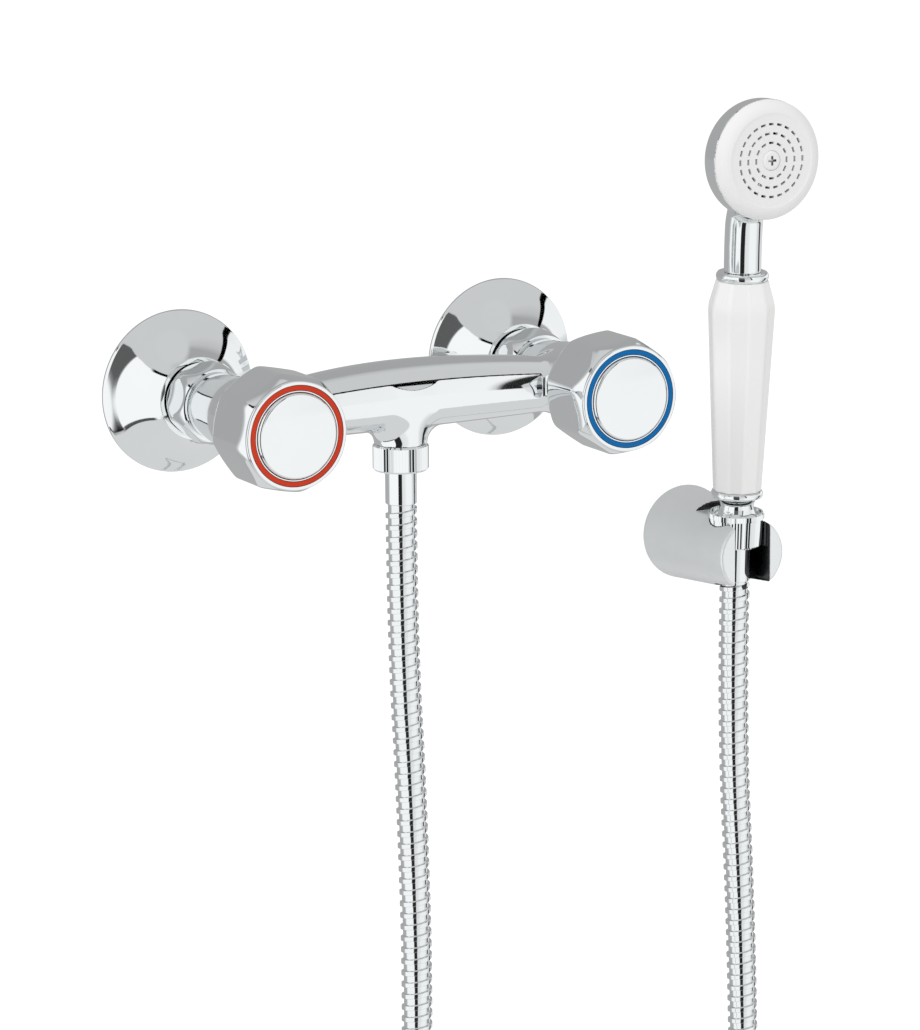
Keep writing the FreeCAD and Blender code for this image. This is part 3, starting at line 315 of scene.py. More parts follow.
def noise(tree, scale, detail=2.0):
    """Noise on object coordinates."""
    place = wired(tree, "TexCoord", "Object", {})
    return wired(tree, "TexNoise", "Fac", {"Vector": place, "Scale": scale, "Detail": detail})


def spread(tree, value, low, high):
    """Maps a 0 to 1 value on a range."""
    return wired(tree, "MapRange", "Result", {"Value": value, "To Min": low, "To Max": high})


def risen(tree, value, low, high):
    """0 below the lower value and 1 above the higher one."""
    return wired(tree, "MapRange", "Result", {"Value": value, "From Min": low, "From Max": high})


def shade_between(tree, value, dark, light):
    """Colour between two, by a 0 to 1 value."""
    inputs = {"Factor": value, "A": (*dark, 1), "B": (*light, 1)}
    return wired(tree, "Mix", "Result", inputs, data_type="RGBA")


def new_material(name):
    """Node material with a Principled shader; returns the material, its tree and the shader's inputs."""
    material = bpy.data.materials.new(name)
    material.use_nodes = True
    return material, material.node_tree, material.node_tree.nodes["Principled BSDF"].inputs


CLOUD_DETAIL = 3.0
COAT_ROUGHNESS = 0.04
RELIEF_DEEP = 0.1 * MM


def mottled(name, dark, light, smooth, rough, grains, ripple, **plain):
    """Material whose colour, roughness and relief vary a little, each at its own grain."""
    material, tree, inputs = new_material(name)
    for socket, value in plain.items():
        inputs[socket.replace("_", " ")].default_value = value
    cloud = noise(tree, grains[0], CLOUD_DETAIL)
    tree.links.new(shade_between(tree, cloud, dark, light), inputs["Base Color"])
    tree.links.new(spread(tree, noise(tree, grains[1]), smooth, rough), inputs["Roughness"])
    if ripple:
        bump = {"Strength": ripple, "Distance": RELIEF_DEEP, "Height": noise(tree, grains[2])}
        tree.links.new(wired(tree, "Bump", "Normal", bump), inputs["Normal"])
    return material


def metal(name, dark, light, smooth, rough, grain=60.0, ripple=0.0, bare=1.0):
    """Bare or plated metal with a slightly uneven polish."""
    return mottled(name, dark, light, smooth, rough, (grain, grain * 4, grain * 12), ripple, Metallic=bare)


def plastic(name, dark, light, smooth, rough, coat=0.0, shine=0.5, grain=40.0, ripple=0.03):
    """Moulded plastic, rubber or enamel with a faint mottle and a moulded skin."""
    return mottled(name, dark, light, smooth, rough, (grain, grain * 5, grain * 30), ripple,
                   Specular_IOR_Level=shine, Coat_Weight=coat, Coat_Roughness=COAT_ROUGHNESS)


def tints(colour, low, high=1.0):
    """A colour brought down to two shares of itself, the darker first."""
    return [tuple(channel * share for channel in colour) for share in (low, high)]


def finish(name):
    """The material of a finish, made once from the panel's colours."""
    label = "shower_" + name
    if label in bpy.data.materials:
        return bpy.data.materials[label]
    colours = bpy.context.scene.shower_finishes
    # Darker and lighter colour, lower and higher roughness, then grain, ripple and share of bare metal
    metals = {
        "polished_chrome": (*tints(colours.chrome, 0.97), 0.035, 0.06),
        "hose_chrome": (*tints(colours.chrome, 0.92, 0.98), 0.07, 0.12),
        "satin_chrome": (*tints(colours.chrome, 0.90, 0.95), 0.26, 0.34, 90.0, 0.04, 0.45),
        "plain_brass": ((0.50, 0.36, 0.16), (0.62, 0.47, 0.22), 0.18, 0.3),
        "plain_steel": ((0.42, 0.43, 0.44), (0.55, 0.56, 0.57), 0.2, 0.32, 120.0, 0.05),
        # Painted shade: a near-black finish for the knobs' recesses round the ring and cap, and for the bracket's
        # slot, socket and the wall behind its seat
        "painted_shade": ((0.045, 0.048, 0.05), (0.07, 0.073, 0.075), 0.16, 0.26),
    }
    # Darker and lighter colour, lower and higher roughness, then coat and shine
    plastics = {
        # Black rubber is the washers' and rings' own colour; the same finish is also painted shade on the head's
        # front face behind the spray slots
        "black_rubber": ((0.012, 0.012, 0.012), (0.02, 0.02, 0.02), 0.55, 0.7),
        "white_grip": (*tints(colours.grip, 0.985), 0.16, 0.22, 0.25),
        "white_face": (*tints(colours.face, 0.985), 0.26, 0.34),
        "red_enamel": (*tints(colours.hot, 0.94), 0.42, 0.5, 0.0, 0.15),
        "blue_enamel": (*tints(colours.cold, 0.94), 0.42, 0.5, 0.0, 0.15),
        # Painted shade: a near-black finish for the walls of the spray slots and of the screw's cross, where shade
        # falls
        "painted_slot_shade": ((0.02, 0.021, 0.022), (0.035, 0.036, 0.037), 0.5, 0.65),
    }
    return metal(label, *metals[name]) if name in metals else plastic(label, *plastics[name])


def attached(piece, body, node):
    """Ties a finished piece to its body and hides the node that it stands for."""
    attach(piece, body)
    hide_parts(node)
    return piece


def dressed(piece, body, node, slot="polished_chrome", look=None):
    """Gives a finished piece its one finish, which is its slot's unless told, and ties it to its body."""
    piece.data.materials.clear()
    piece.data.materials.append(finish(look or slot))
    return attached(piece, body, node)


def painted(piece, chosen, *names):
    """Adds finishes after those that a piece has; the faces that the test chooses get its second slot."""
    for name in names:
        piece.data.materials.append(finish(name))
    for face in piece.data.polygons:
        if chosen(face):
            face.material_index = 1


# What a user may change

def tone(name, description, value):
    """A colour of the panel."""
    return FloatVectorProperty(name=name, description=description, default=value, subtype="COLOR", min=0, max=1)


def span(name, description, value):
    """A size of the panel, given in millimetres."""
    return FloatProperty(name=name, description=description, default=value * MM, unit="LENGTH")


class ShowerFinishes(bpy.types.PropertyGroup):
    """Colours of the finishes."""
    chrome: tone("Chrome", "Colour of the plating", (0.85, 0.875, 0.885))
    grip: tone("Grip", "Colour of the grip", (0.84, 0.84, 0.835))
    face: tone("Spray face", "Colour of the spray face", (0.80, 0.80, 0.80))
    hot: tone("Hot ring", "Colour of the ring on the hot knob", (0.585, 0.043, 0.014))
    cold: tone("Cold ring", "Colour of the ring on the cold knob", (0.001, 0.137, 0.402))


class ShowerBody(bpy.types.PropertyGroup):
    """Sizes of the casting."""
    bar_middle: span("Bar radius, middle", "Radius of the bar at the outlet", 14.3)
    bar_end: span("Bar radius, ends", "Radius of the bar in the bosses", 9.9)
    bow: span("Bow", "How far the bar's ends stand out past its middle", 15.0)
    grain: span("Mesh size", "Size of the casting's faces", 0.62)


class ShowerCovers(bpy.types.PropertyGroup):
    """Sizes of the bell covers and the union nuts."""
    radius: span("Cover radius", "Radius of a bell cover at the wall", 33.6)
    depth: span("Cover depth", "Depth of a bell cover", 20.5)
    nut_flats: span("Nut flats", "Size of the union nuts across their flats", 30.0)


class ShowerKnobs(bpy.types.PropertyGroup):
    """Sizes of the knobs."""
    sides: IntProperty(name="Sides", description="Number of flats on a knob", default=8, min=5)
    flats: span("Flats", "Size of a knob across its flats", 45.6)
    depth: span("Depth", "Depth of a knob", 30.1)
    edge: span("Edge", "How softly a knob's flats turn into its coned ends", 2.2)
    corner: span("Corner", "How softly a knob's flats turn into one another", 1.5)


class ShowerHose(bpy.types.PropertyGroup):
    """Sizes of the hose."""
    pitch: span("Pitch", "Distance from one turn of the strip to the next", 5.0)
    groove: span("Groove", "Depth of the groove between two turns", 1.0)


class ShowerHandset(bpy.types.PropertyGroup):
    """Sizes of the hand shower."""
    grip_sides: IntProperty(name="Grip sides", description="Number of flats on the grip", default=10, min=6)
    grip_wide: span("Grip width", "Widest part of the grip, across its flats", 27.5)
    head_radius: span("Head radius", "Radius of the spray head", 25.3)
    neck_radius: span("Neck radius", "Radius of the neck", 7.9)


class ShowerBracket(bpy.types.PropertyGroup):
    """Sizes of the wall bracket."""
    back_radius: span("Back radius", "Radius of the bracket at the wall", 20.5)
    front_radius: span("Front radius", "Radius of the bracket's front", 15.5)
    length: span("Length", "How far the bracket stands out", 59.0)
    slot: span("Slot", "Width of the slot for the hose", 17.2)


GROUPS = {
    "shower_finishes": ShowerFinishes,
    "shower_body": ShowerBody,
    "shower_covers": ShowerCovers,
    "shower_knobs": ShowerKnobs,
    "shower_hose": ShowerHose,
    "shower_handset": ShowerHandset,
    "shower_bracket": ShowerBracket,
}


# Stage

# What metal mirrors, by degrees to the right of the photograph's side. The side of the tent is given low and
# high up, its two edges as heights over 90 degrees, and the dark seam at each edge by how strong it is
TENT_SIDE_LOW = [
    (-180, 0.46), (-104, 0.46), (-96, 0.60), (-88, 1.08), (-19.5, 1.08), (-18, 0.02), (7, 0.02), (9, 0.86),
    (30, 0.92), (40, 1.04), (80, 1.04), (90, 0.84), (106, 0.68), (108, 0.02), (120, 0.02), (122, 0.72),
    (150, 0.85), (156, 0.46), (180, 0.46)]
TENT_SIDE_HIGH = [
    (-180, 0.43), (-104, 0.43), (-96, 0.56), (-88, 1.08), (-19.5, 1.08), (-18, 0.12), (7, 0.12), (9, 0.70),
    (34.5, 0.74), (36, 0.02), (41, 0.02), (42.5, 1.04), (90, 0.94), (100, 0.84), (118, 1.0), (150, 1.0),
    (156, 0.42), (180, 0.42)]
TENT_TOP = [
    (-180, 0.42), (-130, 0.42), (-108, 0.60), (-90, 0.68), (122, 0.67), (140, 0.58), (152, 0.42), (180, 0.42)]
TOP_EDGE = [
    (-180, 0.46), (-30, 0.46), (0, 0.40), (40, 0.51), (60, 0.45), (80, 0.37), (108, 0.24), (134, 0.20),
    (160, 0.145), (180, 0.145)]
TOP_SEAM = [
    (-180, 0.0), (-94, 0.0), (-90, 1.0), (-60, 1.0), (-52, 0.0), (16, 0.0), (24, 1.0), (162, 1.0), (166, 0.0),
    (180, 0.0)]
LOW_EDGE = [(-180, 0.46), (-15, 0.46), (20, 0.52), (80, 0.52), (105, 0.43), (180, 0.43)]
LOW_SEAM = [
    (-180, 0.0), (-86, 0.0), (-78, 0.9), (-22, 0.9), (-14, 0.0), (100, 0.0), (110, 0.4), (150, 0.4),
    (156, 0.0), (180, 0.0)]
TENT_BOTTOM, TENT_CROWN = 0.74, 0.69
# Heights over 90 degrees between which the side and the top change
SIDE_CHANGE, CROWN_CHANGE = (-0.06, -0.03), (0.68, 0.76)
SEAM_WIDE, SEAM_BLUR, EDGE_BLUR = 0.022, 0.006, 0.004
DIFFUSE_LEVEL = 0.72
FLOOR_GLOW, FLOOR_WIDE, FLOOR_BELOW, FLOOR_ROUGH = 0.40, 14, 4, 0.9
# Name, azimuth, elevation, distance, width and power of each soft lamp
LAMPS = (("key_lamp", -62, 38, 2.4, 1.6, 26), ("fill_lamp", 48, 20, 2.6, 1.8, 8))


def calculated(tree, operation, first, second=None):
    """Math node on one or two values, which are sockets or numbers."""
    return wired(tree, "Math", "Value", {0: first, 1: second}, operation=operation)


def mixed(tree, factor, first, second):
    """Two greys mixed by a factor; each is a socket or a number."""
    return wired(tree, "Mix", "Result", {"Factor": factor, "A": first, "B": second})


def dotted(tree, vector, direction):
    """Dot product with a fixed direction."""
    return wired(tree, "VectorMath", "Value", {0: vector, 1: direction}, operation="DOT_PRODUCT")


def studio_ramp(tree, value, stops):
    """Brightness along an angle, from (degrees, grey) stops between -180 and 180."""
    ramp = tree.nodes.new("ShaderNodeValToRGB")
    for _ in stops[2:]:
        ramp.color_ramp.elements.new(0.5)
    for element, (degrees, grey) in zip(ramp.color_ramp.elements, stops):
        element.position = (degrees + 180) / 360
        element.color = (grey, grey, grey, 1)
    tree.links.new(risen(tree, value, -math.pi, math.pi), ramp.inputs["Fac"])
    return ramp.outputs["Color"]


def tent_edge(tree, height, edge, seam):
    """How far a direction lies past an edge of the tent, from 0 to 1, and how light the seam there is."""
    past = calculated(tree, "SUBTRACT", height, edge)
    beside = risen(tree, calculated(tree, "ABSOLUTE", past), SEAM_WIDE, SEAM_WIDE + SEAM_BLUR)
    dark = calculated(tree, "MULTIPLY", seam, calculated(tree, "SUBTRACT", 1.0, beside))
    return risen(tree, past, -EDGE_BLUR, EDGE_BLUR), calculated(tree, "SUBTRACT", 1.0, dark)


def make_world():
    """Studio tent: white where the camera looks; metal mirrors its bright sides, dark gaps and seams."""
    world = bpy.data.worlds.new("studio")
    bpy.context.scene.world = world
    world.use_nodes = True
    world.cycles.sampling_method = "NONE"
    tree = world.node_tree
    place = wired(tree, "TexCoord", "Generated", {})
    azimuth = math.radians(VIEW_AZIMUTH)
    front = dotted(tree, place, (-math.sin(azimuth), -math.cos(azimuth), 0))
    right = dotted(tree, place, (math.cos(azimuth), -math.sin(azimuth), 0))
    across = calculated(tree, "ARCTAN2", right, front)
    height = calculated(tree, "ARCSINE", dotted(tree, place, (0, 0, 1)))
    height = calculated(tree, "DIVIDE", height, math.pi / 2)
    side_low, side_high, top, top_edge, top_seam, low_edge, low_seam = (
        studio_ramp(tree, across, stops)
        for stops in (TENT_SIDE_LOW, TENT_SIDE_HIGH, TENT_TOP, TOP_EDGE, TOP_SEAM, LOW_EDGE, LOW_SEAM))
    side = mixed(tree, risen(tree, height, *SIDE_CHANGE), side_low, side_high)
    above = mixed(tree, risen(tree, height, *CROWN_CHANGE), top, TENT_CROWN)
    past_top, top_light = tent_edge(tree, height, top_edge, top_seam)
    past_low, low_light = tent_edge(tree, calculated(tree, "MULTIPLY", height, -1.0), low_edge, low_seam)
    studio = mixed(tree, past_low, mixed(tree, past_top, side, above), TENT_BOTTOM)
    studio = calculated(tree, "MULTIPLY", studio, calculated(tree, "MULTIPLY", top_light, low_light))
    ray = tree.nodes.new("ShaderNodeLightPath").outputs
    lit = mixed(tree, ray["Is Glossy Ray"], DIFFUSE_LEVEL, studio)
    direct = calculated(tree, "MAXIMUM", ray["Is Camera Ray"], ray["Is Transmission Ray"])
    tree.links.new(mixed(tree, direct, lit, 1.0), tree.nodes["Background"].inputs["Color"])


def make_floor():
    """Pale floor under the hose's loop; metal mirrors the tent, which goes on below it."""
    deselect()
    bpy.ops.mesh.primitive_plane_add(size=FLOOR_WIDE, location=(0, 0, CAD_BOX[0].z - FLOOR_BELOW * MM))
    floor = settled(added("floor"))
    floor.visible_glossy = False
    material, tree, inputs = new_material("pale_floor")
    pale = shade_between(tree, noise(tree, 3.0, 4.0), (0.90, 0.90, 0.90), (0.93, 0.93, 0.93))
    tree.links.new(pale, inputs["Base Color"])
    inputs["Roughness"].default_value = FLOOR_ROUGH
    inputs["Specular IOR Level"].default_value = 0.0
    inputs["Emission Color"].default_value = (1, 1, 1, 1)
    ray = tree.nodes.new("ShaderNodeLightPath").outputs
    direct = calculated(tree, "MAXIMUM", ray["Is Camera Ray"], ray["Is Transmission Ray"])
    seen = calculated(tree, "MAXIMUM", direct, ray["Is Glossy Ray"])
    tree.links.new(spread(tree, seen, 0.0, FLOOR_GLOW), inputs["Emission Strength"])
    floor.data.materials.append(material)


def outwards(azimuth, elevation):
    """Direction from the object to a lamp or camera, given in degrees."""
    turn, rise = math.radians(azimuth), math.radians(elevation)
    return Vector((math.sin(turn) * math.cos(rise), -math.cos(turn) * math.cos(rise), math.sin(rise)))


def make_lamp(name, azimuth, elevation, distance, wide, power):
    """Soft square lamp that faces the middle of the view."""
    deselect()
    back = outwards(azimuth, elevation)
    bpy.ops.object.light_add(type="AREA", location=Vector(VIEW_AIM) + back * distance)
    lamp = bpy.context.object
    lamp.name = name
    lamp.data.size = wide
    lamp.data.energy = power
    lamp.rotation_euler = back.to_track_quat("Z", "Y").to_euler()
    lamp.visible_glossy = False


def make_camera():
    """Camera at the photograph's angle."""
    deselect()
    back = outwards(-VIEW_AZIMUTH, VIEW_ELEVATION)
    bpy.ops.object.camera_add(location=Vector(VIEW_AIM) + back * VIEW_DISTANCE)
    camera = bpy.context.object
    camera.name = "photo_camera"
    level = back.to_track_quat("Z", "Y").to_matrix().to_4x4()
    roll = Matrix.Rotation(math.radians(VIEW_ROLL), 4, "Z")
    camera.matrix_world = Matrix.Translation(camera.location) @ level @ roll
    camera.data.lens = LENS
    camera.data.sensor_width = LONG_SIDE_SENSOR
    camera.data.clip_start = CLIP_NEAR
    camera.data.clip_end = CLIP_FAR
    bpy.context.scene.camera = camera


class SHOWER_OT_stage(bpy.types.Operator):
    """Camera, floor, soft lamps and the studio round the object."""
    bl_idname = "shower.stage"
    bl_label = "Stage"

    def execute(self, context):
        make_camera()
        make_world()
        make_floor()
        for lamp in LAMPS:
            make_lamp(*lamp)
        context.scene.view_settings.view_transform = "Standard"
        return {"FINISHED"}


# Hose, along a route from the ferrule at the outlet to the ferrule at the handset

HOSE_START = (0.0, -53.0, -45.3)
HOSE_POINTS = [
    (0.0, -53.0, -103.0), (2.8, -54.5, -170.0), (4.0, -56.5, -265.0), (-1.0, -57.0, -375.0),
    (-2.5, -56.0, -469.0), (0.5, -54.5, -546.0), (31.0, -53.0, -591.0), (83.0, -51.0, -609.0),
    (136.0, -49.0, -592.0), (167.5, -47.5, -547.5), (171.5, -46.5, -464.0), (171.8, -45.0, -356.0),
    (170.6, -43.5, -254.0)]
HOSE_LEAD = 62.6
HOSE_DIAMETER = 13.0 * MM
# One turn of the strip: share of the pitch and share of the groove's depth
STRIP_PROFILE = ((0.0, 0.12), (0.03, 0.0), (0.37, 0.0), (0.40, 0.12), (0.44, 1.0), (0.96, 1.0))
STRIP_STEPS, HOSE_AROUND = 24, 32
HOSE_TUCK = 1.5 * MM
MERGE_NEAR, MERGE_FLAT = 0.004 * MM, 0.002 * MM
THREAD_BORE_R, HOSE_HOLE_R = 10.48, 6.55
KNURL_TEETH, KNURL_DEPTH = 56, 0.35
OUTLET_NUT_R, OUTLET_NUT_TOP, OUTLET_NUT_LOW, OUTLET_NUT_FLOOR, OUTLET_NUT_EDGE = 11.5, -20.3, -31.2, 1.2, 0.8
TAIL_FLANGE_R, TAIL_FLANGE, TAIL_BORE_R, TAIL_EDGE = 9.8, 1.5, 4.6, 0.5
OUTLET_TAIL_TOP, OUTLET_TAIL_LOW = -28.5, -45.3
HANDSET_TAIL_TOP, HANDSET_TAIL_LOW = -8.03, -27.5


def in_metres(point):
    """A point written in millimetres, in metres."""
    return Vector(point) * MM


def hose_route():
    """Control points of the hose, in metres."""
    lead, tail = (AT_HANDSET @ in_metres((0, 0, HANDSET_TAIL_LOW - back)) for back in (HOSE_LEAD, 0))
    return [in_metres(HOSE_START)] + [in_metres(point) for point in HOSE_POINTS] + [lead, tail]


def smooth_line(points):
    """Points read from a NURBS spline with these control points."""
    curve = bpy.data.curves.new("route", "CURVE")
    curve.dimensions = "3D"
    spline = curve.splines.new("NURBS")
    spline.points.add(len(points) - 1)
    for place, point in zip(spline.points, points):
        place.co = (*point, 1.0)
    spline.order_u = 3
    spline.use_endpoint_u = True
    spline.resolution_u = 24
    holder = bpy.data.objects.new("route", curve)
    line = bpy.data.meshes.new_from_object(holder)
    read = [vertex.co.copy() for vertex in line.vertices]
    bpy.data.objects.remove(holder)
    bpy.data.curves.remove(curve)
    bpy.data.meshes.remove(line)
    return read


def walked(line, step):
    """Points at even steps along a line, with the direction there, and the line's length."""
    spots, travelled, wanted = [], 0.0, 0.0
    for before, here in zip(line, line[1:]):
        run = (here - before).length
        while run > 0 and wanted <= travelled + run:
            spots.append((before.lerp(here, (wanted - travelled) / run), (here - before).normalized()))
            wanted += step
        travelled += run
    return spots, travelled


def knurled(piece, low, high, least):
    """Cuts teeth round a turned piece of twice as many steps, between two heights."""
    for vertex in piece.data.vertices:
        reach = reach_of(vertex.co)
        step = round(math.atan2(vertex.co.y, vertex.co.x) / (math.pi / KNURL_TEETH))
        if step % 2 and reach > least * MM and low * MM <= vertex.co.z <= high * MM:
            drawn_in(vertex, (reach - KNURL_DEPTH * MM) / reach)
    return piece


def strip_point(spots, finest, travel, angle, reach):
    """Point on the wound strip: how far along the route, how far round it and how far from its middle."""
    index = min(int(travel / finest), len(spots) - 1)
    point, along = spots[index]
    point = point + along * (travel - index * finest)
    side = (Vector((0, 1, 0)) - along * along.y).normalized()
    return point + (side * math.cos(angle) + along.cross(side) * math.sin(angle)) * reach


def wound_strip(line, size):
    """Mesh of the hose: a stepped helix round the route, tucked into a ferrule at each end."""
    finest = size.pitch / STRIP_STEPS
    spots, length = walked(line, finest)
    turns = len(STRIP_PROFILE)
    made = bmesh.new()
    rows = []
    for turn in range(-1, int(length / size.pitch) + 1):
        for share, deep in STRIP_PROFILE:
            rows.append([])
            for j in range(HOSE_AROUND):
                travel = (turn + share + j / HOSE_AROUND) * size.pitch
                inside = HOSE_TUCK < travel < length - HOSE_TUCK
                reach = HOSE_DIAMETER / 2 - (deep if inside else 1.0) * size.groove
                travel = min(max(travel, 0.0), length)
                spot = strip_point(spots, finest, travel, 2 * math.pi * j / HOSE_AROUND, reach)
                rows[-1].append(made.verts.new(spot))
    for i in range(len(rows) - turns - 1):
        for j in range(HOSE_AROUND):
            after, step = (j + 1, 0) if j < HOSE_AROUND - 1 else (0, turns)
            made.faces.new((rows[i][j], rows[i + step][after], rows[i + step + 1][after], rows[i + 1][j]))
    bmesh.ops.delete(made, geom=[vertex for vertex in made.verts if not vertex.link_faces], context="VERTS")
    bmesh.ops.remove_doubles(made, verts=made.verts, dist=MERGE_NEAR)
    bmesh.ops.dissolve_degenerate(made, edges=made.edges, dist=MERGE_FLAT)
    bmesh.ops.holes_fill(made, edges=[edge for edge in made.edges if edge.is_boundary], sides=0)
    bmesh.ops.recalc_face_normals(made, faces=made.faces)
    mesh = bpy.data.meshes.new("shower_hose")
    made.to_mesh(mesh)
    made.free()
    return mesh, [point for point, _ in spots[::STRIP_STEPS]] + [line[-1]]


def make_ferrule(name, top, low):
    """Smooth end of the hose, with the flange that its nut holds."""
    flange = top - TAIL_FLANGE
    radius = HOSE_DIAMETER / 2 / MM
    return lathe(name, [(TAIL_BORE_R, top), (TAIL_FLANGE_R, top), (TAIL_FLANGE_R, flange), (radius, flange),
                        (radius, low, TAIL_EDGE), (TAIL_BORE_R, low)], 64)


def make_outlet_nut():
    """Knurled round nut that holds the hose at the outlet."""
    top, low, edge, wide = OUTLET_NUT_TOP, OUTLET_NUT_LOW, OUTLET_NUT_EDGE, OUTLET_NUT_R
    floor = low + OUTLET_NUT_FLOOR
    outline = [(HOSE_HOLE_R, low), (wide - edge, low), (wide, low + edge), (wide, top - edge),
               (wide - edge, top), (THREAD_BORE_R, top), (THREAD_BORE_R, floor), (HOSE_HOLE_R, floor)]
    nut = lathe("shower_outlet_nut", outline, 2 * KNURL_TEETH)
    return knurled(nut, low, top, wide - edge / 2)


class SHOWER_OT_hose(bpy.types.Operator):
    """The metal hose of wound strip, its nut and its two ferrules."""
    bl_idname = "shower.hose"
    bl_label = "Hose"

    def execute(self, context):
        nut = smoothed(settled(make_outlet_nut(), AT_OUTLET), 20)
        dressed(nut, "fixture", "hose_nut")
        first = make_ferrule("shower_outlet_ferrule", OUTLET_TAIL_TOP, OUTLET_TAIL_LOW)
        dressed(smoothed(settled(first, AT_OUTLET), 40), "fixture", "hose_ferrule")
        last = make_ferrule("shower_handset_ferrule", HANDSET_TAIL_TOP, HANDSET_TAIL_LOW)
        dressed(smoothed(settled(last, AT_HANDSET), 40), "hose_end", "handset_ferrule")
        mesh, path = wound_strip(smooth_line(hose_route()), context.scene.shower_hose)
        hose = bpy.data.objects.new("shower_hose", mesh)
        context.scene.collection.objects.link(hose)
        smoothed(hose, 50)
        hose.data.materials.append(finish("hose_chrome"))
        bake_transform(hose)
        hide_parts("hose")
        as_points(path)
        return {"FINISHED"}


# Smooth cast surfaces, given by how far a point lies outside them

SLOPE_STEP = 0.02
DRAW_PASSES, LEAST_STEEP, LONGEST_MOVE = 6, 0.25, 1.0


def filleted(first, second, radius):
    """Union of two shapes with a fillet between them."""
    near = np.hypot(np.maximum(radius - first, 0), np.maximum(radius - second, 0))
    return np.maximum(radius, np.minimum(first, second)) - near


def trimmed(first, second, radius):
    """What two shapes share, with its new edge rounded."""
    near = np.hypot(np.maximum(radius + first, 0), np.maximum(radius + second, 0))
    return np.minimum(-radius, np.maximum(first, second)) + near


def slope_of(surface, points):
    """Direction in which the distance from a surface grows."""
    slope = np.empty_like(points)
    for axis in range(3):
        shift = np.zeros(3)
        shift[axis] = SLOPE_STEP
        slope[:, axis] = (surface(points + shift) - surface(points - shift)) / (2 * SLOPE_STEP)
    return slope


def drawn_on(piece, surface, rounds=3):
    """Evens out a remeshed piece and draws its points on to a smooth surface."""
    count = len(piece.data.vertices)
    for _ in range(rounds):
        with_modifier(piece, "SMOOTH", factor=0.5, iterations=6)
        places = np.empty(count * 3)
        piece.data.vertices.foreach_get("co", places)
        points = places.reshape(-1, 3) / MM
        for _ in range(DRAW_PASSES):
            slope = slope_of(surface, points)
            steep = np.maximum((slope ** 2).sum(1), LEAST_STEEP)
            move = np.clip(surface(points) / steep, -LONGEST_MOVE, LONGEST_MOVE)
            points = points - slope * move[:, None]
        piece.data.vertices.foreach_set("co", (points * MM).ravel())
        piece.data.update()
    return piece


def remeshed(piece, size):
    """Voxel remesh of a rough shape, at a size in metres."""
    return with_modifier(piece, "REMESH", mode="VOXEL", voxel_size=size, adaptivity=0.0)


# Casting

BAR_HALF, BAR_OUT, BAR_REACH, BAR_STATIONS = 75.0, 53.0, 67.5, 12
BOSS_BACK, BOSS_FRONT, BOSS_EDGE = 38.5, 77.0, 1.0
BOSS_BACK_R, BOSS_FRONT_R, BOSS_BORE_R = 13.5, 17.0, 10.53
OUTLET_R, OUTLET_LOW, OUTLET_HIGH, OUTLET_EDGE = 10.9, -20.3, -4, 0.5
BOSS_FILLET, OUTLET_FILLET = 4.0, 6.5
ROUGH_STEPS = 72


def bar_bow(size, x):
    """How far the bar's middle line stands out of the wall, and its radius, at a distance from the middle."""
    share = (x / BAR_HALF) ** 2
    return BAR_OUT + size.bow / MM * share, (size.bar_middle - (size.bar_middle - size.bar_end) * share) / MM


def casting_surface(size):
    """Outside of the casting, with a bore through each boss."""
    def surface(points):
        x, out, z = points[:, 0], -points[:, 1], points[:, 2]
        middle, radius = bar_bow(size, x)
        lean = np.hypot(1, 2 * size.bow / MM * x / BAR_HALF ** 2)
        bar = np.maximum((np.hypot(out - middle, z) - radius) / lean, np.abs(x) - BAR_REACH)
        reach = np.hypot(np.abs(x) - BAR_HALF, z)
        grow = (out - BOSS_BACK - BOSS_EDGE) / (BOSS_FRONT - BOSS_BACK - 2 * BOSS_EDGE)
        side = reach - BOSS_BACK_R - (BOSS_FRONT_R - BOSS_BACK_R) * grow
        ends = np.abs(out - (BOSS_BACK + BOSS_FRONT) / 2) - (BOSS_FRONT - BOSS_BACK) / 2
        boss = trimmed(side, ends, BOSS_EDGE)
        pipe = np.maximum(trimmed(np.hypot(x, out - BAR_OUT) - OUTLET_R, OUTLET_LOW - z, OUTLET_EDGE), z)
        whole = filleted(filleted(bar, boss, BOSS_FILLET), pipe, OUTLET_FILLET)
        return np.maximum(whole, BOSS_BORE_R - reach)
    return surface


class SHOWER_OT_casting(bpy.types.Operator):
    """The mixer's casting: a bowed bar, two bosses and the outlet."""
    bl_idname = "shower.casting"
    bl_label = "Casting"

    def execute(self, context):
        size = context.scene.shower_body
        stations = [BAR_REACH * step / BAR_STATIONS for step in range(-BAR_STATIONS, BAR_STATIONS + 1)]
        outline = [(0, -BAR_REACH)] + [(bar_bow(size, x)[1], x) for x in stations] + [(0, BAR_REACH)]
        bar = lathe("bar", outline, ROUGH_STEPS)
        settled(bar, Matrix.Rotation(math.radians(90), 4, "Y"))
        for vertex in bar.data.vertices:
            vertex.co.y -= bar_bow(size, vertex.co.x / MM)[0] * MM
        pieces = [bar]
        for side in SIDES:
            boss = lathe("boss", [(BOSS_BORE_R, BOSS_BACK), (BOSS_BACK_R, BOSS_BACK),
                                  (BOSS_FRONT_R, BOSS_FRONT), (BOSS_BORE_R, BOSS_FRONT)], ROUGH_STEPS)
            bore = bar_between("bore", BOSS_BORE_R, BOSS_BACK - 1, BOSS_FRONT + 1, ROUGH_STEPS)
            pieces.append(settled(boss, at_side(side)))
            carved(bar, settled(bore, at_side(side)))
        pieces.append(settled(bar_between("pipe", OUTLET_R, OUTLET_LOW, OUTLET_HIGH, ROUGH_STEPS), AT_OUTLET))
        casting = remeshed(joined("shower_casting", pieces), size.grain)
        drawn_on(casting, casting_surface(size))
        dressed(smoothed(casting, 40), "fixture", "mixer_body")
        return {"FINISHED"}


# Bell covers and union nuts

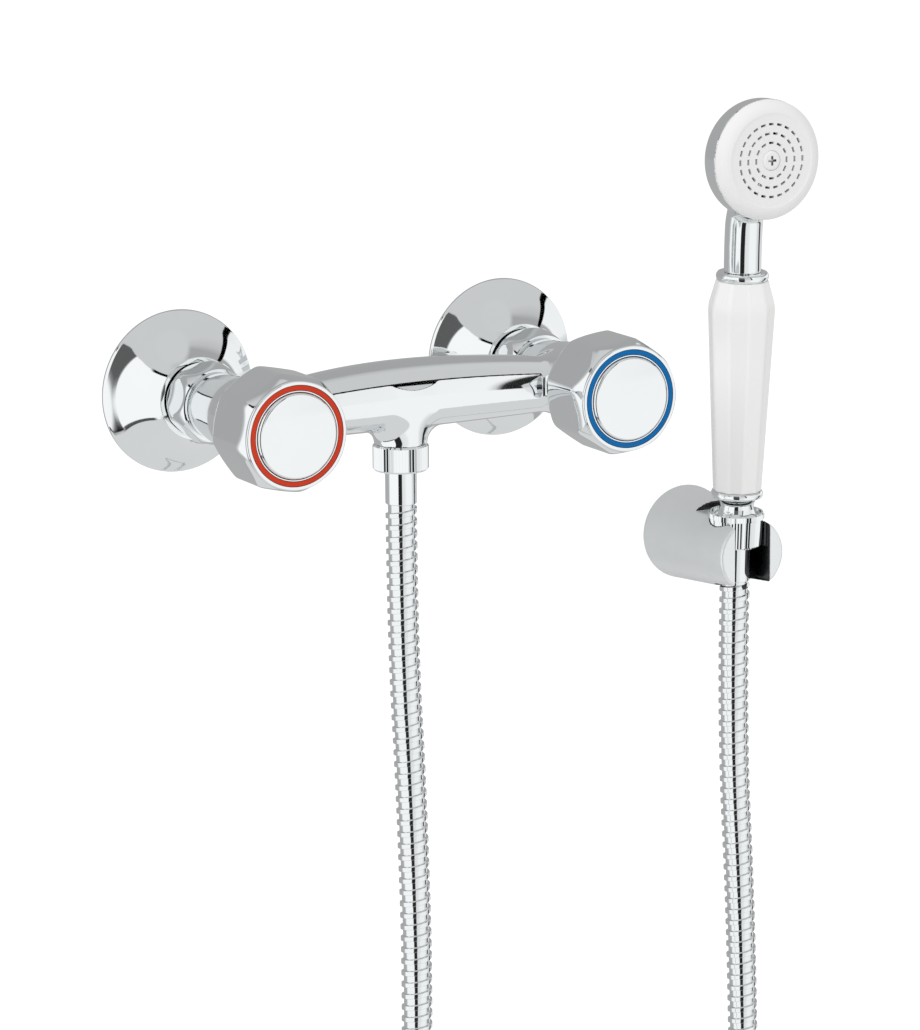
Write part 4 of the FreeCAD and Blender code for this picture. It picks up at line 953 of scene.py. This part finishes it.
THREAD_R = 13.27
COVER_WALL, COVER_EDGE, COVER_EDGE_ROUND = 1.2, 1.2, 1.0
COVER_SHOULDER_R, COVER_SHOULDER = 30.6, 3.4
COVER_MOUTH_R, COVER_MOUTH_ROUND, COVER_HUB, COVER_HOLLOW = 17.0, 0.35, 5.0, 1.2
NUT_BACK, NUT_LENGTH, NUT_LIP = 21.5, 16.5, 4.5
NUT_END_R, NUT_WIDE_R, NUT_MOUTH_R = 14.9, 16.7, 10.3
NUT_TURN = Matrix.Rotation(math.radians(16), 4, "Z")
NUT_CORNER, NUT_EDGE = 0.5 * MM, 0.3 * MM


def cover_outline(size):
    """Outline of a bell cover, outside first and then its thin wall."""
    rim, depth = size.radius / MM, size.depth / MM
    flank = ((COVER_SHOULDER_R + COVER_MOUTH_R) / 2 - COVER_HOLLOW, (COVER_SHOULDER + depth) / 2 - COVER_HOLLOW)
    thin = COVER_WALL / math.sqrt(2)
    points = [(rim - COVER_WALL, 0), (rim, 0), (rim, COVER_EDGE, COVER_EDGE_ROUND),
              (COVER_SHOULDER_R, COVER_SHOULDER)]
    points += arc_points(points[-1], flank, (COVER_MOUTH_R, depth), 16)[:-1]
    points += [(COVER_MOUTH_R, depth, COVER_MOUTH_ROUND), (THREAD_R, depth), (THREAD_R, depth - COVER_HUB),
               (COVER_MOUTH_R - COVER_WALL, depth - COVER_HUB)]
    inner = (COVER_SHOULDER_R - thin, COVER_SHOULDER - thin)
    points += arc_points(points[-1], (flank[0] - thin, flank[1] - thin), inner, 8)
    return points + [(rim - COVER_WALL, COVER_EDGE - COVER_WALL / 2)]


def soft_least(first, second, blend):
    """The smaller of two lengths, with a soft turn from one to the other."""
    near = max(blend - abs(first - second), 0.0) / blend
    return min(first, second) - near * near * blend / 4


def flatted(piece, sides, flats, corner, blend):
    """Cuts flats on a turned piece, with soft corners and a soft turn to its round ends; sizes in metres."""
    half = math.pi / sides
    for vertex in piece.data.vertices:
        reach = reach_of(vertex.co)
        if reach >= flats / 2 - blend:
            angle = math.atan2(vertex.co.y, vertex.co.x) % (2 * half) - half
            here, beside = (flats / 2 / math.cos(turn) for turn in (angle, 2 * half - abs(angle)))
            drawn_in(vertex, soft_least(reach, soft_least(here, beside, corner), blend) / reach)
    return cleaned(piece)


def spaced(points, step):
    """Outline points with more between them, so that none are further apart than the step."""
    close = [points[0]]
    for before, here in zip(points, points[1:]):
        count = math.ceil(math.dist(before, here) / step)
        close += [tuple(a + (b - a) * i / count for a, b in zip(before, here)) for i in range(1, count + 1)]
    return close


def make_union_nut(size):
    """Hexagon nut whose corners are turned to a barrel shape."""
    front = NUT_BACK + NUT_LENGTH
    back_edge, front_edge = (NUT_END_R, NUT_BACK), (NUT_END_R, front)
    outline = [back_edge] + arc_points(back_edge, (NUT_WIDE_R, (NUT_BACK + front) / 2), front_edge, 32)
    outline += [(NUT_MOUTH_R, front), (NUT_MOUTH_R, front - NUT_LIP), (THREAD_R, front - NUT_LIP),
                (THREAD_R, NUT_BACK)]
    return flatted(lathe("union_nut", outline, 180), 6, size.nut_flats, NUT_CORNER, NUT_EDGE)


class SHOWER_OT_covers(bpy.types.Operator):
    """Bell covers on the wall and the union nuts in front of them."""
    bl_idname = "shower.covers"
    bl_label = "Covers and union nuts"

    def execute(self, context):
        size = context.scene.shower_covers
        cover = lathe("cover", cover_outline(size))
        nut = make_union_nut(size)
        for side in SIDES:
            place = at_side(side)
            shown = smoothed(copied(cover, "shower_cover_" + side, place), 24)
            dressed(shown, "fixture", "escutcheon_" + side)
            shown = smoothed(copied(nut, "shower_union_nut_" + side, place @ NUT_TURN), 40)
            dressed(shown, "fixture", "union_nut_" + side)
        removed(cover, nut)
        return {"FINISHED"}


# Knobs

KNOB_BACK = 79.5
KNOB_WIDE_R, KNOB_BACK_R, KNOB_FRONT_R = 25.1, 21.6, 21.3
KNOB_BACK_CONE, KNOB_FRONT_CONE = 3.9, 6.9
KNOB_LIP, KNOB_LIP_R = 0.9, 0.5
KNOB_CAVITY_R, KNOB_HUB_R, KNOB_HUB, KNOB_WEB = 18.6, 7.5, 8.0, 3.0
KNOB_ROWS, STEPS_PER_FLAT = 0.6, 30
RING_OUTER_R, RING_INNER_R, RING_THICK, RING_PROUD, RING_ROUND = 19.95, 18.1, 1.6, 0.1, 0.15
CAP_R, CAP_SEAT, CAP_RISE, CAP_DOME, CAP_EDGE, CAP_STEPS = 17.2, 5.0, 1.2, 1.0, 1.4, 12
FIT, RECESS_GAP = 0.05, 0.25
# Each side's body, the turn of its knob and the finish of its ring
KNOBS = {"hot": ("knob_hot_turning", 10.4, "red_enamel"), "cold": ("knob_cold_turning", 32.3, "blue_enamel")}


def make_knob(size, front):
    """Prism with coned ends, hollow behind, with recesses for the ring and the cap."""
    seat = front - CAP_SEAT
    web, hub = seat - KNOB_WEB, seat - KNOB_HUB
    outside = spaced([(KNOB_BACK_R, KNOB_BACK), (KNOB_WIDE_R, KNOB_BACK + KNOB_BACK_CONE),
                      (KNOB_WIDE_R, front - KNOB_FRONT_CONE), (KNOB_FRONT_R + KNOB_LIP_R, front - KNOB_LIP)],
                     KNOB_ROWS)
    lip = (KNOB_FRONT_R + KNOB_LIP_R * ROOT_HALF, front - KNOB_LIP * (1 - ROOT_HALF))
    outline = [(0, hub), (KNOB_HUB_R, hub), (KNOB_HUB_R, web), (KNOB_CAVITY_R, web), (KNOB_CAVITY_R, KNOB_BACK)]
    outline += outside + arc_points(outside[-1], lip, (KNOB_FRONT_R - KNOB_LIP_R, front), 8)
    outer, inner, cap = RING_OUTER_R + RECESS_GAP, RING_INNER_R - RECESS_GAP, CAP_R + RECESS_GAP
    outline += [(outer, front), (outer, front - RING_THICK), (inner, front - RING_THICK), (inner, front),
                (cap, front), (cap, seat), (0, seat)]
    knob = lathe("knob", outline, size.sides * STEPS_PER_FLAT)

    def in_recess(face):
        return reach_of(face.center) / MM < outer + 0.1 and seat - 0.1 < face.center.z / MM < front - FIT
    # Painted shade: the recess faces round the ring and the cap get a dark finish for the shade in those gaps
    painted(knob, in_recess, "polished_chrome", "painted_shade")
    return flatted(knob, size.sides, size.flats, size.corner, size.edge)


def make_cap(front):
    """Domed cap that closes the knob's front."""
    rim = front + CAP_RISE
    flat = CAP_R - CAP_EDGE
    corner = CAP_EDGE * (1 - ROOT_HALF)
    ball = (flat ** 2 + CAP_DOME ** 2) / (2 * CAP_DOME)
    outline = [(0, front - CAP_SEAT), (CAP_R, front - CAP_SEAT), (CAP_R, rim - CAP_EDGE)]
    outline += arc_points(outline[-1], (CAP_R - corner, rim - corner), (flat, rim), 8)
    for step in range(1, CAP_STEPS + 1):
        radius = flat * (1 - step / CAP_STEPS)
        outline.append((radius, rim + CAP_DOME - ball + math.sqrt(ball ** 2 - radius ** 2)))
    return lathe("cap", outline)


def make_index_ring(front):
    """Coloured ring let into the knob's front."""
    back, face = front - RING_THICK, front + RING_PROUD
    return lathe("index_ring", [(RING_INNER_R, back), (RING_OUTER_R, back), (RING_OUTER_R, face, RING_ROUND),
                                (RING_INNER_R, face)])


class SHOWER_OT_knobs(bpy.types.Operator):
    """Knobs with their coloured rings and caps."""
    bl_idname = "shower.knobs"
    bl_label = "Knobs"

    def execute(self, context):
        size = context.scene.shower_knobs
        front = KNOB_BACK + size.depth / MM
        knob, cap, ring = make_knob(size, front), make_cap(front), make_index_ring(front)
        for side, (body, turn, enamel) in KNOBS.items():
            place = at_side(side) @ Matrix.Rotation(math.radians(turn), 4, "Z")
            attached(smoothed(copied(knob, "shower_knob_" + side, place), 40), body, "knob_" + side)
            dressed(smoothed(copied(cap, "shower_cap_" + side, place), 30), body, "knob_cap_" + side)
            shown = smoothed(copied(ring, "shower_ring_" + side, place), 30)
            dressed(shown, body, "index_ring_" + side, enamel)
        removed(knob, cap, ring)
        return {"FINISHED"}


# Bracket

SEAT_STEP, SEAT_FILLET, SEAT_EDGE = 29.0, 1.2, 0.5
SEAT_BEHIND = -SEAT.y / MM - SEAT_STEP
BRACKET_BACK_EDGE, BRACKET_FRONT_EDGE = 4.0, 1.2
SOCKET_TOP_R, SOCKET_LOW_R, SOCKET_DEPTH, SOCKET_EDGE = 11.7, 11.2, 12.2, 0.35
RECESS_R, RECESS, GRUB_R = 14.2, 7.0, 2.5
CUT_FAR = 60
BRACKET_GRAIN = 0.45 * MM


def bracket_surface(size):
    """Outside of the bracket: a cone with its seat, slot, socket, recess and screw hole."""
    to_handset, to_bracket = (np.array(place.inverted()) for place in (AT_HANDSET, AT_BRACKET))
    back_r, front_r, length = size.back_radius / MM, size.front_radius / MM, size.length / MM
    half = size.slot / MM / 2

    def surface(points):
        local = points @ to_bracket[:3, :3].T + to_bracket[:3, 3] / MM
        reach, out = np.hypot(local[:, 0], local[:, 1]), local[:, 2]
        taper = (out - BRACKET_BACK_EDGE) / (length - BRACKET_FRONT_EDGE - BRACKET_BACK_EDGE)
        cone = reach - back_r + (back_r - front_r) * taper
        solid = trimmed(trimmed(cone, -out, BRACKET_BACK_EDGE), out - length, BRACKET_FRONT_EDGE)
        x, y, z = (points @ to_handset[:3, :3].T + to_handset[:3, 3] / MM).T
        solid = trimmed(solid, filleted(z, SEAT_BEHIND - y, SEAT_FILLET), SEAT_EDGE)
        solid = trimmed(solid, half - np.hypot(x, np.maximum(y, 0)), SEAT_EDGE)
        socket_r = SOCKET_TOP_R + (SOCKET_TOP_R - SOCKET_LOW_R) * z / SOCKET_DEPTH
        socket = np.maximum(np.hypot(x, y) - socket_r, -SOCKET_DEPTH - z)
        solid = trimmed(solid, -socket, SOCKET_EDGE)
        recess = np.maximum(reach - RECESS_R, out - RECESS)
        grub = np.maximum(np.hypot(local[:, 0], out - RECESS / 2) - GRUB_R, local[:, 1] + RECESS_R - 1)
        return np.maximum(np.maximum(solid, -recess), -grub)
    return surface


def make_bracket(size):
    """Tapered bracket cut for the seat, the slot, the nut's cone and the wall plate."""
    back_r, front_r, length, half = (
        value / MM for value in (size.back_radius, size.front_radius, size.length, size.slot / 2))
    outline = [(0, 0), (back_r, 0), (back_r, BRACKET_BACK_EDGE), (front_r, length), (0, length)]
    bracket = lathe("shower_bracket", outline, 96)
    carved(bracket, bar_between("recess", RECESS_R, -1, RECESS, 64))
    settled(bracket, AT_BRACKET)
    socket = [(0, -SOCKET_DEPTH), (SOCKET_LOW_R, -SOCKET_DEPTH), (SOCKET_TOP_R, 1), (0, 1)]
    for cutter in (block("seat", (-CUT_FAR, -CUT_FAR, 0), (CUT_FAR, SEAT_BEHIND, CUT_FAR)),
                   block("slot", (-half, -CUT_FAR, -CUT_FAR), (half, 0, CUT_FAR)),
                   bar_between("way", half, -CUT_FAR, 10, 64), lathe("socket", socket, 64)):
        carved(bracket, settled(cutter, AT_HANDSET))
    return drawn_on(remeshed(bracket, BRACKET_GRAIN), bracket_surface(size), 2)


def in_painted_shade(size):
    """Test for the faces of the bracket's slot and socket and of the wall behind its seat, which get painted shade.
    """
    to_seat = AT_HANDSET.inverted()
    turn = to_seat.to_3x3()
    slot_r, socket_r = size.slot / MM / 2 + 0.15, SOCKET_TOP_R + 0.15

    def chosen(face):
        x, y, z = (to_seat @ face.center) / MM
        in_slot = z < -0.4 and math.hypot(x, max(y, 0)) < slot_r
        in_socket = -SOCKET_DEPTH - 0.3 < z < -0.4 and math.hypot(x, y) < socket_r
        return in_slot or in_socket or (
            z > 0.2 and abs(y - SEAT_BEHIND) < 1.6 and (turn @ face.normal).y < -0.3)
    return chosen


class SHOWER_OT_bracket(bpy.types.Operator):
    """Wall bracket that holds the hand shower."""
    bl_idname = "shower.bracket"
    bl_label = "Bracket"

    def execute(self, context):
        size = context.scene.shower_bracket
        bracket = dressed(smoothed(make_bracket(size), 40), "fixture", "bracket_body", "satin_chrome")
        # Painted shade: a dark finish on the slot, the socket and the wall behind the seat stands in for the shade
        # there
        painted(bracket, in_painted_shade(size), "painted_shade")
        return {"FINISHED"}


# Handset

NUT_FLANGE, NUT_FLANGE_R, NUT_CHAMFER = 2.8, 11.9, 0.6
CONE_TOP_R, CONE_LOW_R, CONE_DEPTH, CONE_FLOOR = 11.5, 11.0, 12.0, 2.5
NIPPLE_LOW, NIPPLE_THREAD, NIPPLE_WAIST_R, NIPPLE_STUB_R, NIPPLE_STUB = -6.0, 1.0, 7.3, 8.0, 14
COLLAR_LOW, GRIP_LOW, COLLAR_R, COLLAR_ROUND = 9.2, 12.2, 11.1, 0.6
GRIP_LENGTH, GRIP_WIDE_AT = 91.0, 80.0
GRIP_LOW_R, GRIP_TOP_R = 10.0, 10.8
TOP_COLLAR, TOP_COLLAR_R, TOP_COLLAR_ROUND = 3.6, 11.2, 0.8


def make_handset_nut():
    """Knurled cone nut that rests on the bracket."""
    low, high, edge = -CONE_DEPTH, NUT_FLANGE, NUT_CHAMFER
    floor = low + CONE_FLOOR
    outline = [(HOSE_HOLE_R, low), (CONE_LOW_R - edge, low), (CONE_LOW_R, low + edge), (CONE_TOP_R, 0),
               (NUT_FLANGE_R, 0), (NUT_FLANGE_R, high - edge), (NUT_FLANGE_R - edge, high),
               (THREAD_BORE_R, high), (THREAD_BORE_R, floor), (HOSE_HOLE_R, floor)]
    nut = lathe("shower_handset_nut", outline, 2 * KNURL_TEETH)
    return knurled(nut, low + edge / 2, high - edge / 2, CONE_LOW_R - 0.1)


def make_nipple():
    """Threaded end of the handset with its hollow waist and collar."""
    thread_r, edge_r = THREAD_BORE_R - FIT, COLLAR_R - COLLAR_ROUND
    waist = (NIPPLE_WAIST_R, (NIPPLE_THREAD + COLLAR_LOW) / 2)
    outline = [(0, NIPPLE_LOW), (thread_r, NIPPLE_LOW), (thread_r, NIPPLE_THREAD - 1), (thread_r - 1, NIPPLE_THREAD)]
    outline += arc_points(outline[-1], waist, (edge_r - 1, COLLAR_LOW), 16) + [(edge_r, COLLAR_LOW)]
    outline += arc_points(outline[-1], (COLLAR_R, (COLLAR_LOW + GRIP_LOW) / 2), (edge_r, GRIP_LOW), 10)
    outline += [(NIPPLE_STUB_R, GRIP_LOW), (NIPPLE_STUB_R, GRIP_LOW + NIPPLE_STUB), (0, GRIP_LOW + NIPPLE_STUB)]
    return lathe("shower_nipple", outline)


def make_upper_collar():
    """Rounded ring between the grip and the neck."""
    low = GRIP_LOW + GRIP_LENGTH
    high = low + TOP_COLLAR
    edge_r = TOP_COLLAR_R - TOP_COLLAR_ROUND
    outline = [(0, low), (edge_r, low)]
    outline += arc_points(outline[-1], (TOP_COLLAR_R, (low + high) / 2), (edge_r, high), 10)
    return lathe("shower_upper_collar", outline + [(0, high)])


class SHOWER_OT_handset_fittings(bpy.types.Operator):
    """Cone nut, threaded end and upper collar of the hand shower."""
    bl_idname = "shower.handset_fittings"
    bl_label = "Handset fittings"

    def execute(self, context):
        for piece, node, degrees in ((make_handset_nut(), "handset_nut", 20),
                                     (make_nipple(), "handset_nipple", 30),
                                     (make_upper_collar(), "upper_collar", 30)):
            dressed(smoothed(settled(piece, AT_HANDSET), degrees), "handset", node)
        return {"FINISHED"}


def make_grip(size):
    """Sleeve with long flats, widest near its top."""
    stations = [(GRIP_LOW_R * MM, 0), (size.grip_wide / 2, GRIP_WIDE_AT * MM), (GRIP_TOP_R * MM, GRIP_LENGTH * MM)]
    half = math.pi / size.grip_sides
    deselect()
    bpy.ops.mesh.primitive_circle_add(
        vertices=size.grip_sides, radius=GRIP_LOW_R * MM * (1 / math.cos(half)), fill_type="NGON",
        location=(0, 0, GRIP_LOW * MM), rotation=(0, 0, half))
    grip = settled(added("shower_grip"))
    editing("FACE")
    for (before_r, before), (radius, height) in zip(stations, stations[1:]):
        bpy.ops.mesh.extrude_region_move(TRANSFORM_OT_translate={"value": (0, 0, height - before)})
        bpy.ops.transform.resize(value=(radius / before_r, radius / before_r, 1))
    bpy.ops.object.mode_set(mode="OBJECT")
    cleaned(grip)

    def level(edge, *heights):
        return any(all(abs(vertex.co.z - height * MM) < 0.01 * MM for vertex in edge) for height in heights)
    bevelled(grip, lambda edge: level(edge, GRIP_LOW + GRIP_WIDE_AT), 2.6, 6)
    bevelled(grip, lambda edge: abs(edge[0].co.z - edge[1].co.z) > 0.01 * MM, 1.15, 5)
    bevelled(grip, lambda edge: level(edge, GRIP_LOW, GRIP_LOW + GRIP_LENGTH), 0.3, 3)
    return grip


class SHOWER_OT_grip(bpy.types.Operator):
    """White grip with long flats."""
    bl_idname = "shower.grip"
    bl_label = "Grip"

    def execute(self, context):
        grip = smoothed(settled(make_grip(context.scene.shower_handset), AT_HANDSET), 40)
        dressed(grip, "handset", "grip", "white_plastic", "white_grip")
        return {"FINISHED"}


# Head and neck. The neck's middle line: height, how far forward and how much thinner

HEAD_SIDE, HEAD_DOME, HEAD_CROWN_R, HEAD_FILLET, HEAD_STEPS = 7.4, 13.5, 4.6, 5.0, 12
NECK_LOW, NECK_STEP, NECK_TOP = 106.8, 3.0, 152
NECK_LINE = np.array(((84.0, 0.0, 0.0), (106.8, 0.0, 0.0), (120.2, 0.0, 0.0), (129.2, 0.6, 0.0),
                      (139.2, 3.6, 0.3), (149.2, 7.6, 1.4), (158.0, 10.4, 3.0)))
SIDE_EDGE, RIM_EDGE, HEAD_MOUTH_R = 0.8, 0.3, 23.5
HEAD_GRAIN = 0.42 * MM


def neck_line(heights):
    """How far forward the neck's middle lies and how much thinner it is, at each height."""
    known, values = NECK_LINE[:, 0], NECK_LINE[:, 1:]
    slopes = np.gradient(values, known, axis=0)
    index = np.clip(np.searchsorted(known, heights) - 1, 0, len(known) - 2)
    width = known[index + 1] - known[index]
    t = np.clip((heights - known[index]) / width, 0, 1)[:, None]
    width = width[:, None]
    return ((2 * t ** 3 - 3 * t ** 2 + 1) * values[index] + (t ** 3 - 2 * t ** 2 + t) * width * slopes[index]
            + (3 * t ** 2 - 2 * t ** 3) * values[index + 1] + (t ** 3 - t ** 2) * width * slopes[index + 1])


def dome_round(head_r):
    """Radius of the round between the head's side and its flat crown, and the height of its middle."""
    ball = ((head_r - HEAD_CROWN_R) ** 2 + HEAD_DOME ** 2) / (2 * HEAD_DOME)
    return ball, ball - HEAD_SIDE - HEAD_DOME


def head_surface(size):
    """Outside of the head and neck, in the handset's own frame."""
    tilt = math.radians(90) - FACE_TILT
    axis = np.array((0, -math.sin(tilt), math.cos(tilt)))
    across = np.array((0, math.cos(tilt), math.sin(tilt)))
    rim = np.array((0, 0, HEAD_RISE / MM)) + axis * HEAD_FORWARD / MM
    head_r, neck_r = size.head_radius / MM, size.neck_radius / MM
    ball, middle = dome_round(head_r)

    def surface(points):
        ahead = (points - rim) @ axis
        reach = np.hypot(points[:, 0], (points - rim) @ across)
        back = np.hypot(np.maximum(reach - HEAD_CROWN_R, 0), ahead - middle) - ball
        back = np.where(ahead > 0, reach - head_r, back)
        pot = trimmed(trimmed(back, reach - head_r, SIDE_EDGE), ahead, RIM_EDGE)
        forward, thinner = neck_line(points[:, 2]).T
        neck = np.hypot(points[:, 0], points[:, 1] + forward) - neck_r + thinner
        neck = trimmed(0.94 * neck, NECK_LOW - points[:, 2], RIM_EDGE)
        return filleted(pot, np.maximum(neck, points[:, 2] - NECK_TOP), HEAD_FILLET)
    return surface


def make_head(size):
    """Pot-shaped head and bent neck in one shell."""
    head_r, neck_r = size.head_radius / MM, size.neck_radius / MM
    ball, middle = dome_round(head_r)
    outline = [(0, middle - ball)]
    for step in range(HEAD_STEPS + 1):
        angle = math.asin((head_r - HEAD_CROWN_R) / ball) * step / HEAD_STEPS
        outline.append((HEAD_CROWN_R + ball * math.sin(angle), middle - ball * math.cos(angle)))
    pot = settled(lathe("pot", outline + [(head_r, 0), (0, 0)], 96), AT_HANDSET.inverted() @ AT_SPRAY)
    heights = [NECK_LOW + step * NECK_STEP for step in range(15)]
    line = neck_line(np.array(heights))
    outline = [(0, NECK_LOW)] + [(neck_r - thinner, height) for height, (_, thinner) in zip(heights, line)]
    neck = lathe("neck", outline + [(0, heights[-1])], 64)
    for vertex in neck.data.vertices:
        vertex.co.y -= neck_line(np.array([vertex.co.z / MM]))[0, 0] * MM
    head = remeshed(joined("shower_head", [pot, neck]), HEAD_GRAIN)
    return drawn_on(head, head_surface(size))


class SHOWER_OT_head(bpy.types.Operator):
    """Chromed head and neck of the hand shower."""
    bl_idname = "shower.head"
    bl_label = "Head"

    def execute(self, context):
        head = smoothed(settled(make_head(context.scene.shower_handset), AT_HANDSET), 40)
        dressed(head, "handset", "head_shell")
        to_rim = AT_SPRAY.inverted()

        def in_mouth(face):
            middle = to_rim @ face.center
            return abs(middle.z) < 0.1 * MM and reach_of(middle) < HEAD_MOUTH_R * MM
        # Painted shade: the head's front face inside the mouth gets the black rubber finish, for the dark chamber
        # seen through the spray slots
        painted(head, in_mouth, "black_rubber")
        return {"FINISHED"}


# Spray plate and its screw

SPRAY_R, SPRAY_RIM, SPRAY_LOW, SPRAY_LOW_R, SPRAY_THICK = 25.1, 1.0, 0.05, 21.0, 2.2
RIDGE_R, RIDGE, RIDGE_WIDE, RIDGE_GROOVE = 19.8, 4.4, 1.0, 0.3
SPRAY_FACE = RIDGE - RIDGE_GROOVE
SPRAY_SLOTS = ((15.2, 24), (11.3, 18), (7.4, 12))
SLOT_LONG, SLOT_SHORT, SLOT_FROM, SLOT_TO = 2.4, 1.0, 1, 6
SCREW_HEAD_R, SCREW_HEAD, SCREW_PROUD, SCREW_ROUND = 4.2, 2.0, 0.5, 1.0
CROSS_LONG, CROSS_WIDE, CROSS_DEEP = 4.0, 1.0, 1.4


def make_spray_plate():
    """White face plate with a sloped rim, a ridge and three rings of slots."""
    disc_r, floor = RIDGE_R - RIDGE_WIDE, SPRAY_FACE - SPRAY_THICK
    slope = ((SPRAY_R + RIDGE_R) / 2 + 0.6, (SPRAY_RIM + RIDGE) / 2 + 0.6)
    outline = [(0, floor), (disc_r, floor), (SPRAY_LOW_R, SPRAY_LOW), (SPRAY_R, SPRAY_LOW), (SPRAY_R, SPRAY_RIM, 0.2)]
    outline += arc_points((SPRAY_R, SPRAY_RIM), slope, (RIDGE_R, RIDGE), 10)[:-1]
    plate = lathe("shower_spray_plate", outline + [(RIDGE_R, RIDGE, 0.25), (disc_r, SPRAY_FACE), (0, SPRAY_FACE)])
    slots = []
    for radius, count in SPRAY_SLOTS:
        for i in range(count):
            slot = block("slot", (radius - SLOT_SHORT / 2, -SLOT_LONG / 2, SLOT_FROM),
                         (radius + SLOT_SHORT / 2, SLOT_LONG / 2, SLOT_TO))
            slots.append(settled(slot, Matrix.Rotation(2 * math.pi * i / count, 4, "Z")))
    carved(plate, joined("slots", slots))
    carved(plate, bar_between("screw_hole", SCREW_HEAD_R + FIT, SLOT_FROM, SLOT_TO, 64))

    def in_slot(face):
        wall = abs(face.normal.z) < 0.3 or face.center.z < (SPRAY_FACE - 1) * MM
        return wall and SCREW_HEAD_R < reach_of(face.center) / MM < disc_r - 1
    # Painted shade: the slot walls are chosen for the near-black finish that stands in for the shade inside the slots
    painted(plate, in_slot, "white_face", "painted_slot_shade")
    return plate


def make_spray_screw():
    """Round-headed screw with a cross recess."""
    top = SPRAY_FACE + SCREW_PROUD
    corner = SCREW_ROUND * (1 - ROOT_HALF)
    outline = [(0, top - SCREW_HEAD), (SCREW_HEAD_R, top - SCREW_HEAD), (SCREW_HEAD_R, top - SCREW_ROUND)]
    outline += arc_points(outline[-1], (SCREW_HEAD_R - corner, top - corner), (SCREW_HEAD_R - SCREW_ROUND, top), 8)
    screw = lathe("shower_spray_screw", outline + [(0, top)], 64)
    for wide, deep in ((CROSS_LONG / 2, CROSS_WIDE / 2), (CROSS_WIDE / 2, CROSS_LONG / 2)):
        carved(screw, block("cross", (-wide, -deep, top - CROSS_DEEP), (wide, deep, top + 1)))

    def in_cross(face):
        return (reach_of(face.center) / MM < CROSS_LONG / 2 + FIT
                and CROSS_DEEP + FIT > top - face.center.z / MM > 0.2)
    # Painted shade: the walls of the cross are chosen for the near-black finish that stands in for the shade inside
    # it
    painted(screw, in_cross, "plain_steel", "painted_slot_shade")
    return screw


class SHOWER_OT_spray(bpy.types.Operator):
    """White spray plate and the screw that holds it."""
    bl_idname = "shower.spray"
    bl_label = "Spray plate"

    def execute(self, context):
        plate = smoothed(settled(make_spray_plate(), AT_SPRAY), 26)
        attached(plate, "handset", "spray_plate")
        screw = smoothed(settled(make_spray_screw(), AT_SPRAY), 30)
        attached(screw, "handset", "spray_screw")
        return {"FINISHED"}


# Pieces that stay as they are in the frame

def paired(*names):
    """Names of the pieces that each side has."""
    return [name + "_" + side for name in names for side in SIDES]


CARRIED = {
    "polished_chrome": paired("eccentric_union"),
    "plain_brass": paired("inlet_collar", "headwork_body", "spindle", "valve_piston")
    + ["bracket_wall_plate", "water_tube"],
    "plain_steel": paired("knob_screw") + ["bracket_grub_screw"],
    "black_rubber": paired("inlet_washer", "valve_washer", "spindle_oring")
    + ["hose_washer", "handset_washer", "nipple_oring", "neck_oring", "spray_seal"],
}


class SHOWER_OT_carried(bpy.types.Operator):
    """Finishes of the pieces that are seen little or not at all."""
    bl_idname = "shower.carried"
    bl_label = "Inner pieces"

    def execute(self, context):
        for name, nodes in CARRIED.items():
            for node in nodes:
                mesh = frame["nodes"][node].data
                mesh.materials.clear()
                mesh.materials.append(finish(name))
        return {"FINISHED"}


# Panel and registration

OPERATORS = (SHOWER_OT_stage, SHOWER_OT_hose, SHOWER_OT_casting, SHOWER_OT_covers, SHOWER_OT_knobs,
             SHOWER_OT_bracket, SHOWER_OT_handset_fittings, SHOWER_OT_grip, SHOWER_OT_head, SHOWER_OT_spray,
             SHOWER_OT_carried)


class SHOWER_PT_panel(bpy.types.Panel):
    """Sizes, colours and pieces of the shower mixer."""
    bl_idname = "SHOWER_PT_panel"
    bl_label = "Wall shower mixer"
    bl_space_type = "VIEW_3D"
    bl_region_type = "UI"
    bl_category = "Shower"

    def draw(self, context):
        for group in GROUPS:
            settings = getattr(context.scene, group)
            column = self.layout.column(align=True)
            for name in settings.__annotations__:
                column.prop(settings, name)
        for operator in OPERATORS:
            self.layout.operator(operator.bl_idname)


def register():
    """Makes the groups, the operators and the panel known."""
    for name, group in GROUPS.items():
        bpy.utils.register_class(group)
        setattr(bpy.types.Scene, name, PointerProperty(type=group))
    for operator in OPERATORS + (SHOWER_PT_panel,):
        bpy.utils.register_class(operator)


def unregister():
    """Takes them away again."""
    for operator in (SHOWER_PT_panel,) + OPERATORS[::-1]:
        bpy.utils.unregister_class(operator)
    for name, group in GROUPS.items():
        delattr(bpy.types.Scene, name)
        bpy.utils.unregister_class(group)


def main():
    """Builds everything in order."""
    register()
    bpy.ops.shower.stage()
    bpy.ops.shower.hose()
    bpy.ops.shower.casting()
    bpy.ops.shower.covers()
    bpy.ops.shower.knobs()
    bpy.ops.shower.bracket()
    bpy.ops.shower.handset_fittings()
    bpy.ops.shower.grip()
    bpy.ops.shower.head()
    bpy.ops.shower.spray()
    bpy.ops.shower.carried()


if __name__ == "__main__":
    main()
